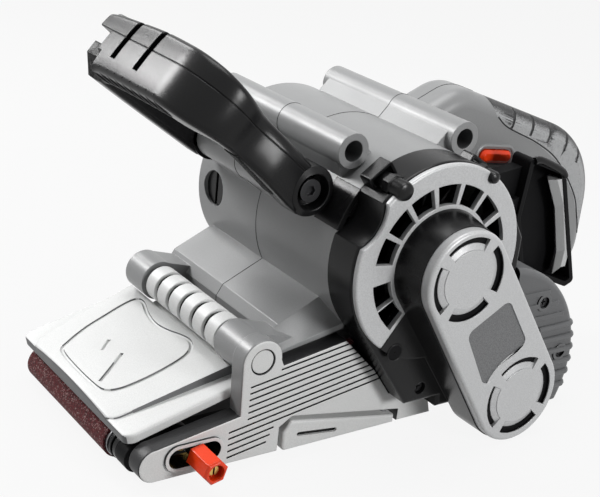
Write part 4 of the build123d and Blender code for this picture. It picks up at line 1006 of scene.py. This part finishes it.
def clips():
    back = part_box("end_housing_clips")[1].y
    shapes = []
    for angle, reach, r in CLIPS:
        centre = around(MOTOR, reach, angle, 0)
        shapes += [clip_barrel(centre, r, back), clip_bracket(centre, angle, r, back),
                   clip_frame(centre, angle, r, back)]
    add_piece("clips_dressed", joined(*shapes), "black_plastic", "base", 32, ("end_housing_clips",))


# Face of the belt guard: black fillings in the outer gaps of its ring slots, which are painted shade,
# slopes in the slots, and the bare field between them
SLOT_OUT = 24.55
SLOT_IN = 17.2
SLOT_STEP = 1.6
SLOT_LIP = 0.5
SLOT_WALL = 0.4
SLOT_SLOPE_END = 20.8
SLOT_SLOPE_TOP = 0.3
SLOT_FLOOR = 4.5
SLOT_TURN = 72
SLOT_MIDDLES = (10, 100, 190, 280)
FIELD_RECESS = 0.8
FIELD_THICK = 0.1
FIELD_CORNERS = ((4.9, -33.5), (33.5, -17.3), (53.2, -46.7), (25.3, -71))
FIELD_ARC_R = 31.5
FIELD_ARC_FROM = 100
FIELD_ARC_STEP = 5.2
FIELD_ARC_POINTS = 11
BORDER_TRIM = 0.1
BORDER_BELOW = 0.03


def ring_slots(name, section, material):
    """Filling of all the ring slots with one section, given as radius and depth below the face."""
    placed = [(radius, FACE_Y + depth * MM) for radius, depth in section]
    shapes = [arch(axis, placed, turn, SLOT_TURN) for axis in (MOTOR, DRIVE) for turn in SLOT_MIDDLES]
    add_piece(name, joined(*shapes), material, "base")


def bare_field():
    """Bare rough field, and the border that follows the lower ring pattern."""
    field_y = FACE_Y + FIELD_RECESS * MM
    corners = [offset_from(MOTOR, dx, dz, field_y) for dx, dz in FIELD_CORNERS]
    field = plate_between(corners, field_y, field_y - FIELD_THICK * MM)
    add_piece("label_field", field, "label_field", "base")
    turns = [FIELD_ARC_FROM + FIELD_ARC_STEP * k for k in range(FIELD_ARC_POINTS)]
    arc = [around(DRIVE, FIELD_ARC_R, turn, field_y) for turn in turns]
    middle_of_edge = (corners[2] + corners[3]) / 2
    lower = [corners[k].lerp(middle_of_edge, BORDER_TRIM) for k in (3, 2)]
    border = plate_between(arc + lower, field_y, FACE_Y + BORDER_BELOW * MM)
    add_piece("field_border", border, "silver_paint", "base")


def guard_face():
    wall = SLOT_OUT - SLOT_WALL
    bottom = SLOT_STEP + SLOT_LIP
    gap = [(SLOT_SLOPE_END, SLOT_FLOOR), (SLOT_OUT, SLOT_FLOOR), (SLOT_OUT, SLOT_LIP), (wall, SLOT_LIP),
           (wall, bottom), (SLOT_SLOPE_END, bottom)]
    slope = [(SLOT_IN, SLOT_FLOOR), (SLOT_SLOPE_END, SLOT_FLOOR), (SLOT_SLOPE_END, SLOT_STEP),
             (SLOT_IN, SLOT_SLOPE_TOP)]
    # Black fillings in the slots' outer gaps are painted shade
    ring_slots("ring_slot_painted_shade", gap, "matt_black")
    ring_slots("ring_slot_slopes", slope, "silver_paint")
    bare_field()


# Black pad on the barrel behind the handle's boss; a span is a middle and a width in degrees
BACK_PAD_SPAN = (149.5, 25)
BACK_PAD_RIGHT = -61.5
BACK_PAD_SUNK = 3
BACK_PAD_PROUD = 0.4


def barrel_pad():
    barrel_r = (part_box("end_housing")[1].z - MOTOR.z) / MM
    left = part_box("end_housing")[1].y - 1 * MM
    section = block(barrel_r - BACK_PAD_SUNK, barrel_r + BACK_PAD_PROUD, BACK_PAD_RIGHT * MM, left)
    add_piece("barrel_pad", arch(MOTOR, section, *BACK_PAD_SPAN), "black_plastic", "base")


# Lower part of the fan cover, which is black, with a round hole in it; the hole's inside is a black disc
# of painted shade
NECK_SPAN = (280.5, 95)
NECK_IN = 22
NECK_OUT = 57.3
NECK_PROUD = 0.35
NECK_SUNK = 1
NECK_HOLE = (-24, -49.8)
NECK_HOLE_R = 4.6
HOLE_RIM = ((-0.2, 0), (0, 0.35), (0.7, 0.35), (0.9, 0))


def fan_cover_neck():
    section = block(NECK_IN, NECK_OUT, FAN_Y + NECK_SUNK * MM, FAN_Y - NECK_PROUD * MM)
    add_piece("fan_cover_neck", arch(MOTOR, section, *NECK_SPAN), "black_plastic", "base")
    centre = offset_from(MOTOR, *NECK_HOLE, 0)
    front = FAN_Y / MM - NECK_PROUD
    rim = [(NECK_HOLE_R + step, front - rise) for step, rise in HOLE_RIM]
    add_piece("neck_hole_rim", turned(rim, centre, 40), "black_plastic", "base")
    # The hole is closed by a thin black disc, painted shade of its inside
    plug = [(AXIS_R, front), (AXIS_R, front - 0.06), (NECK_HOLE_R, front - 0.1), (NECK_HOLE_R, front)]
    add_piece("neck_hole", turned(plug, centre, 40), "matt_black", "base")


# Dust outlet: a tab and a hood over its mouth, and a liner with three facets whose pale colour is painted
# light on the lit inner wall
TAB_POINTS = ((53, 116), (60, 115.6), (78, 107.6), (82.5, 103))
TAB_R = 2.4
HOOD_POINTS = ((19, 62), (19, 102), (24, 107), (50.6, 111), (50.6, 62))
HOOD_BACK = 15
HOOD_FRONT = 6
LINER_ROWS = ((73.3, 99.8, 77.2, 101.1), (84.1, 80.0, 86.8, 83.7), (93.3, 48.2, 96.5, 50.5),
              (93.1, 32.4, 95.4, 38.6))
LINER_FRONT = 0.7
LINER_MIDDLE = 5
LINER_BACK = 12
LINER_RIGHT_THICK = 4
LINER_LEFT_THICK = 5.6


def dust_outlet():
    tab = smooth_curve([offset_from(DRIVE, dx, dz, PORT_Y) for dx, dz in TAB_POINTS])
    add_piece("outlet_tab", rod_along(tab, TAB_R * MM, ALONG_Y, 12), "black_plastic", "base")
    outline = [offset_from(DRIVE, dx, dz, PORT_Y) for dx, dz in HOOD_POINTS]
    hood = plate_between(outline, PORT_Y + HOOD_BACK * MM, PORT_Y + HOOD_FRONT * MM)
    add_piece("outlet_hood", hood, "matt_black", "base")
    rows = []
    for left_x, left_z, right_x, right_z in LINER_ROWS:
        corners = ((left_x, left_z, LINER_MIDDLE), (right_x, right_z, LINER_FRONT),
                   (right_x + LINER_RIGHT_THICK, right_z, LINER_FRONT),
                   (right_x + LINER_RIGHT_THICK, right_z, LINER_BACK),
                   (left_x + LINER_LEFT_THICK, left_z, LINER_BACK))
        rows.append([offset_from(DRIVE, dx, dz, PORT_Y + depth * MM) for dx, dz, depth in corners])
    # The liner's pale colour is painted light: it stands for the lit inner wall of the duct
    add_piece("port_wall_painted_light", skin(rows), "pale_plastic", "base", 4, ("dust_port_liner",))


# Ribs of the rear cover, which run over its side and round its back
RIB_COUNT = 6
RIB_PITCH = 8.4
RIB_LOWEST = -17.5
RIB_START = 34
RIB_R = 2.1
RIB_BEND = 4
RIB_STEP = 8
RIB_SUNK = 1
RIB_STOP = 4


def rear_ribs():
    low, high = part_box("rear_cover")
    round_r = (high.x - DRIVE.x) / MM
    side_y = low.y + RIB_SUNK * MM
    end_y = high.y - RIB_STOP * MM
    ribs = []
    for row in range(RIB_COUNT):
        dz = RIB_LOWEST + row * RIB_PITCH
        back = math.sqrt(round_r ** 2 - dz ** 2) - RIB_SUNK
        spots = ((RIB_START, side_y), (back, side_y), (back, end_y))
        corners = [offset_from(DRIVE, dx, dz, y) for dx, y in spots]
        path = rounded_path(corners, (RIB_BEND * MM,), RIB_STEP * MM)
        ribs.append(rod_along(path, RIB_R * MM, Vector((0, 0, 1)), 10))
    add_piece("rear_ribs", joined(*ribs), "dark_plastic", "base")
    paint(nodes["rear_cover"], "black_plastic", lambda at, facing: at.x < DRIVE.x or facing.x < -0.3)


# Rim round the lock button
BUTTON_TILT = -7
BUTTON_HALF = 9.6
BUTTON_END_R = 6.6
BUTTON_RIM_R = 1.3


def button_rim():
    button = middle("lock_button")
    centre = Vector((button.x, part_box("rear_grip")[0].y, button.z))
    along = tilted(BUTTON_TILT)
    across = tilted(BUTTON_TILT + 90)
    path = []
    for side, start in ((1, -90), (-1, 90)):
        for k in range(13):
            a = math.radians(start + 15 * k)
            run = side * BUTTON_HALF + BUTTON_END_R * math.cos(a)
            path.append(centre + (along * run + across * BUTTON_END_R * math.sin(a)) * MM)
    rim = rod_along(path, BUTTON_RIM_R * MM, ALONG_Y, 8, True)
    add_piece("button_rim", rim, "grey_plastic", "base")


# Second materials on CAD pieces: painted shade on groove bottoms, rims, the knob's slot, the lever's slot,
# a screw's shank and bores, and a roller end
PANEL_RIM = 1.6
GROOVE_DEPTH = 1.2
KNOB_SLOT = (17, 10)
EAR_HALF = 14
EAR_BELOW = 25
LEVER_SLOT = 1.5
ROLLER_END = 2.5
BORE_R = 6.2
SAME_PLANE = 0.05


def panel_materials():
    """Side panel: painted shade as black groove bottoms and knob slot, dark rims and a grey edge on the
    hinge ear.
    """
    panel = nodes["side_panel"]
    face_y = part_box("side_panel")[0].y + PANEL_RIM * MM
    floor_y = face_y + GROOVE_DEPTH * MM
    knob = middle("tracking_screw")

    # Groove floors and walls are painted black as painted shade
    def in_groove(at, facing):
        if abs(facing.y) > 0.9:
            return abs(at.y - floor_y) < SAME_PLANE * MM
        return abs(facing.y) < 0.1 and face_y < at.y < floor_y

    # Rims facing up or forward are painted black as painted shade, and grey round the hinge ear
    def on_rim(at, facing):
        return abs(facing.y) < 0.75 and (facing.z > 0.2 or facing.x < -0.2)

    def on_ear(at, facing):
        above = at.z > HINGE.z - EAR_BELOW * MM
        return on_rim(at, facing) and abs(at.x - HINGE.x) < EAR_HALF * MM and above

    # The knob's slot walls are painted black as painted shade
    def in_knob_slot(at, facing):
        near = abs(at.x - knob.x) < KNOB_SLOT[0] * MM and abs(at.z - knob.z) < KNOB_SLOT[1] * MM
        return near and at.y > face_y and abs(facing.y) < 0.5
    paint(panel, "black_plastic", in_groove)
    paint(panel, "black_rubber", on_rim)
    paint(panel, "grey_plastic", on_ear)
    paint(panel, "black_plastic", in_knob_slot)


def small_materials():
    """Painted shade in the lever's slot, on the screw's shank and in the clamp bores, and a black roller
    end.
    """
    slot_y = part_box("release_lever")[0].y + LEVER_SLOT * MM
    belt_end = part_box("sanding_belt")[0].y - ROLLER_END * MM
    bores = [Vector(mount["pos_m"]) for mount in frame["record"]["mounts"] if mount["kind"] == "bore"]

    # Clamp bores are painted dark grey inside as painted shade
    def in_bore(at, facing):
        return abs(facing.y) < 0.1 and min(off_axis(at, bore) for bore in bores) < BORE_R
    # The lever's slot floor is painted black as painted shade
    paint(nodes["release_lever"], "black_plastic", lambda at, facing: abs(at.y - slot_y) < SAME_PLANE * MM)
    paint(nodes["front_roller"], "black_plastic", lambda at, facing: at.y < belt_end)
    # The screw's faces inside the slot are painted dark steel as painted shade
    paint(nodes["tracking_screw"], "dark_steel", lambda at, facing: facing.y > -0.5)
    for half in ("housing_left", "housing_right"):
        paint(nodes[half], "dark_plastic", in_bore)


# Parting line between the housing halves
LINE_R = 0.22
ON_SEAM = 0.01
SHORTEST = 0.05


def parting_line():
    source = nodes["housing_left"].data
    on_seam = {v.index for v in source.vertices if abs(v.co.y - SEAM_Y) < ON_SEAM * MM}
    shapes = []
    done = set()
    for edge in source.edges:
        if edge.vertices[0] in on_seam and edge.vertices[1] in on_seam:
            a, b = (source.vertices[k].co.copy() for k in edge.vertices)
            key = tuple(sorted((tuple(round(c, 6) for c in a), tuple(round(c, 6) for c in b))))
            if (b - a).length > SHORTEST * MM and key not in done:
                done.add(key)
                shapes.append(rod_along([a, b], LINE_R * MM, ALONG_Y, 4))
    add_piece("parting_line", joined(*shapes), "black_plastic", "base")


front_handle()
nose_cover()
pin_cap()
grip_grooves()
clips()
guard_face()
barrel_pad()
fan_cover_neck()
dust_outlet()
rear_ribs()
button_rim()
panel_materials()
small_materials()
parting_line()


# Floor, world and lamps
FLOOR_HALF = 6.0
FLOOR_TONE = 0.36
PAPER_SHARE = 0.9
AMBIENT = 0.1
MIDDLE = (0.05, -0.02, 0.09)
HANDLE_MIDDLE = (-0.07, 0.0, 0.2)
DECK_MIDDLE = (-0.05, 0.02, 0.075)


def seen_directly(tree):
    """One for rays from the camera, mirrors and glass."""
    light_path = new_node(tree, "ShaderNodeLightPath")
    seen = light_path.outputs["Is Camera Ray"]
    for output in ("Is Glossy Ray", "Is Transmission Ray"):
        seen = combine(tree, "MAXIMUM", seen, light_path.outputs[output])
    return seen


def mix_shaders(tree, share, first, second, output):
    mixed = new_node(tree, "ShaderNodeMixShader")
    tree.links.new(share, mixed.inputs["Fac"])
    tree.links.new(first, mixed.inputs[1])
    tree.links.new(second, mixed.inputs[2])
    tree.links.new(mixed.outputs["Shader"], tree.nodes[output].inputs["Surface"])


def add_floor():
    mesh = bpy.data.meshes.new("floor")
    corners = [(x * FLOOR_HALF, y * FLOOR_HALF, 0) for x, y in ((-1, -1), (1, -1), (1, 1), (-1, 1))]
    mesh.from_pydata(corners, [], [(0, 1, 2, 3)])
    floor = new_object("floor", mesh)
    tone = (FLOOR_TONE, FLOOR_TONE, FLOOR_TONE, 1)
    fixed = {"Base Color": tone, "Roughness": 0.7, "Specular IOR Level": 0.1}
    material, tree, shader = start_material("floor", fixed)
    paper = new_node(tree, "ShaderNodeEmission", Strength=1.0)
    share = remap(tree, seen_directly(tree), 0.0, 1.0, 0.0, PAPER_SHARE)
    mix_shaders(tree, share, shader.outputs["BSDF"], paper.outputs["Emission"], "Material Output")
    floor.data.materials.append(material)


def add_world():
    world = bpy.data.worlds.new("studio")
    bpy.context.scene.world = world
    world.use_nodes = True
    tree = world.node_tree
    ambient = tree.nodes["Background"]
    ambient.inputs["Color"].default_value = (1, 1, 1, 1)
    ambient.inputs["Strength"].default_value = AMBIENT
    white = new_node(tree, "ShaderNodeBackground", Color=(1, 1, 1, 1), Strength=1.0)
    mix_shaders(tree, seen_directly(tree), ambient.outputs["Background"], white.outputs["Background"],
                "World Output")


def add_softbox(name, place_at, target, width, height, watts):
    data = bpy.data.lights.new(name, "AREA")
    data.shape = "RECTANGLE"
    data.size = width
    data.size_y = height
    data.energy = watts
    lamp = new_object(name, data)
    lamp.location = place_at
    lamp.rotation_euler = (Vector(target) - Vector(place_at)).to_track_quat("-Z", "Y").to_euler()


add_camera()
add_floor()
add_world()
add_softbox("top", (0.1, 0.05, 1.35), MIDDLE, 0.8, 0.8, 12)
add_softbox("near_side", (0.35, -1.2, 0.5), MIDDLE, 0.3, 0.28, 9.5)
add_softbox("far_rim", (-0.57, 0.82, 0.74), HANDLE_MIDDLE, 0.34, 0.3, 11)
add_softbox("far_sheen", (-0.14, 0.92, 0.87), DECK_MIDDLE, 0.3, 0.3, 3.3)

bpy.context.scene.view_settings.view_transform = "Standard"
